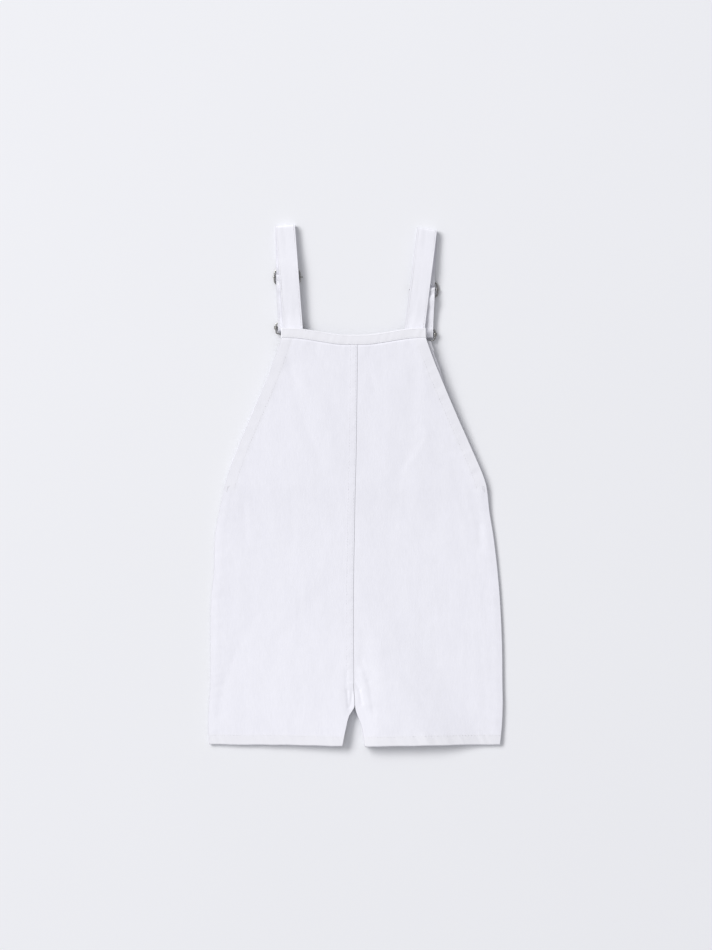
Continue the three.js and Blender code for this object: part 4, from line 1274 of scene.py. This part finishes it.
def cotton_thread():
    """White polyester-cotton topstitching thread: slightly glossier than the cloth, with a twist."""
    material, tree = new_material("cotton_topstitch_thread")
    place = add_node(tree, "ShaderNodeTexCoord").outputs["Object"]
    ply = add_node(
        tree, "ShaderNodeTexWave", {"Vector": place}, bands_direction="DIAGONAL", Scale=600.0, Distortion=0.5
    )
    bump = add_node(tree, "ShaderNodeBump", {"Height": ply.outputs["Fac"]}, Strength=0.4, Distance=0.08 * MM)
    shader = add_node(
        tree, "ShaderNodeBsdfPrincipled", {"Normal": bump.outputs[0]},
        Base_Color=colour("#EFEFF3"), Roughness=0.6, Sheen_Weight=0.1,
    )
    finish_material(tree, shader)
    return material


def nickel_plate(name, roughness):
    """Nickel-plated steel wire: bright grey with a warm cast, polished by drawing, faintly scuffed."""
    material, tree = new_material(name)
    place = add_node(tree, "ShaderNodeTexCoord").outputs["Object"]
    scuff = add_node(tree, "ShaderNodeTexNoise", {"Vector": place}, Scale=900.0, Detail=4.0, Roughness=0.6)
    gloss = add_node(
        tree, "ShaderNodeMapRange", {"Value": scuff.outputs["Fac"]},
        From_Min=0.35, From_Max=0.75, To_Min=roughness, To_Max=roughness + 0.16,
    )
    bump = add_node(
        tree, "ShaderNodeBump", {"Height": scuff.outputs["Fac"]}, Strength=0.12, Distance=0.05 * MM
    )
    shader = add_node(
        tree, "ShaderNodeBsdfPrincipled", {"Roughness": gloss.outputs[0], "Normal": bump.outputs[0]},
        Base_Color=colour("#A3A29F"), Metallic=1.0,
    )
    finish_material(tree, shader)
    return material


def painted_board():
    """The studio's matt white table, with barely visible unevenness."""
    material, tree = new_material("matt_painted_board")
    place = add_node(tree, "ShaderNodeTexCoord").outputs["Object"]
    cloud = add_node(tree, "ShaderNodeTexNoise", {"Vector": place}, Scale=3.0, Detail=2.0)
    base = add_node(tree, "ShaderNodeMix", {"Factor": cloud.outputs["Fac"]}, data_type="RGBA")
    base.inputs[COLOUR_A].default_value = colour("#EBECF0")
    base.inputs[COLOUR_B].default_value = colour("#EDEEF2")
    shader = add_node(
        tree, "ShaderNodeBsdfPrincipled", {"Base Color": base.outputs[MIXED]},
        Roughness=0.95, Specular_IOR_Level=0.1,
    )
    finish_material(tree, shader)
    return material


# Camera, light and floor
FRAME_HEIGHT = 0.950  # metres across the photograph's 950 pixels
VIEW_CENTRE = (0.4, 10.4)
LENS = 85
SENSOR = 36
CLOTH_HEIGHT = 0.004  # metres; the level that is framed is that of the cloth


def make_camera():
    data = bpy.data.cameras.new("camera")
    data.lens = LENS
    data.sensor_width = SENSOR
    data.sensor_fit = "AUTO"
    camera = bpy.data.objects.new("camera", data)
    above_floor = FRAME_HEIGHT * LENS / SENSOR + CLOTH_HEIGHT
    camera.location = (VIEW_CENTRE[0] * MM, VIEW_CENTRE[1] * MM, above_floor)
    bpy.context.scene.collection.objects.link(camera)
    bpy.context.scene.camera = camera


KEY_DIRECTION = Vector((-1.2, 0.84, 1.0))
KEY_DISTANCE = 15  # so far that it lights the whole table almost evenly
KEY_SIZE = (12, 5)  # wide along the garment and low, so that shadows are crisp across it
KEY_POWER = 2270
FILL = 0.53
FLOOR_SIZE = 16
FLOOR_DROP = 0.0001  # metres, just under the garment


def make_light():
    data = bpy.data.lights.new("key_softbox", "AREA")
    data.shape = "RECTANGLE"
    data.size, data.size_y = KEY_SIZE
    data.energy = KEY_POWER
    data.color = (1.0, 0.995, 0.985)
    light = bpy.data.objects.new("key_softbox", data)
    light.location = KEY_DIRECTION.normalized() * KEY_DISTANCE
    light.rotation_euler = KEY_DIRECTION.to_track_quat("Z", "Y").to_euler()
    bpy.context.scene.collection.objects.link(light)
    world = bpy.data.worlds.new("studio")
    bpy.context.scene.world = world
    world.use_nodes = True
    tree = world.node_tree
    tree.nodes.clear()
    direction = add_node(tree, "ShaderNodeTexCoord").outputs["Generated"]
    height = add_node(tree, "ShaderNodeSeparateXYZ", {0: direction})
    ramp = add_node(tree, "ShaderNodeMapRange", {"Value": height.outputs["Z"]}, To_Min=0.12, To_Max=1.0)
    ramp.inputs["From Min"].default_value = 0.02
    ramp.inputs["From Max"].default_value = 0.45
    strength = add_node(tree, "ShaderNodeMath", {0: ramp.outputs[0]}, operation="MULTIPLY")
    strength.inputs[1].default_value = FILL
    sky = add_node(tree, "ShaderNodeBackground", {"Strength": strength.outputs[0]}, Color=colour("#FCFCFF"))
    add_node(tree, "ShaderNodeOutputWorld", {"Surface": sky.outputs[0]})
    bpy.context.scene.view_settings.view_transform = "Standard"


def make_floor(material):
    deselect()
    bpy.ops.mesh.primitive_plane_add(size=FLOOR_SIZE, location=(0, 0, -FLOOR_DROP))
    floor = bpy.context.active_object
    floor.name = "table_top"
    apply_place()
    floor.data.materials.append(material)


def dress(piece, material, replaces=()):
    piece.data.materials.append(material)
    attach(piece, "root")
    if replaces:
        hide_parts(*replaces)
    return piece


make_camera()
make_light()
make_floor(painted_board())

denim = bleached_denim("bleached_denim_twill")
strap_denim = bleached_denim("bleached_denim_strap", warp_turn=math.radians(3))
thread = cotton_thread()
wire_finish = nickel_plate("nickel_plated_wire", 0.14)
cap_finish = nickel_plate("nickel_plated_cap", 0.28)
STITCH = stitch_shape()


def strap_length(side):
    line = strap_line(STRAPS[side], 1.0)
    return sum((Vector(a[:3]) - Vector(b[:3])).length for a, b in zip(line, line[1:])) * MM


fronts, backs = {}, {}
for half in ("left", "right"):
    fronts[half] = dress(front_panel(half), denim, [f"front_{half}"])
    backs[half] = dress(back_panel(half), denim, [f"back_{half}"])

front_band = dress(
    top_band(
        "front_band_cloth", front_top_edge,
        (front_side_x("left", 148), front_side_x("left", 138)),
        (front_side_x("right", 145), front_side_x("right", 135)),
        front_level, rippled=False,
    ),
    denim, ["front_band"],
)
back_band = dress(
    top_band(
        "back_band_cloth", back_top_edge,
        (back_side["left"](157), back_side["left"](147)),
        (back_side["right"](157), back_side["right"](147)),
        back_band_level, rippled=True,
    ),
    denim, ["back_band"],
)

for half in ("left", "right"):
    seams = dress(sew(f"back_{half}_stitches", back_seams(half), 21), thread)
    tack = dress(sew(f"bartack_{half}", bartack(half), 23), thread)
    strap = dress(strap_cloth(half, 31.0), strap_denim, [f"strap_{half}"])
    strap_sewing = dress(sew(f"strap_{half}_stitches", strap_seams(half), 25), thread)
    strap_length(half)
    dress(slider(half), wire_finish, [f"slider_{half}"])
    dress(hook(half), wire_finish, [f"hook_{half}"])
    dress(button(half), cap_finish, [f"button_{half}"])

band_sewing = dress(sew("back_band_stitches", band_seams(), 27), thread)
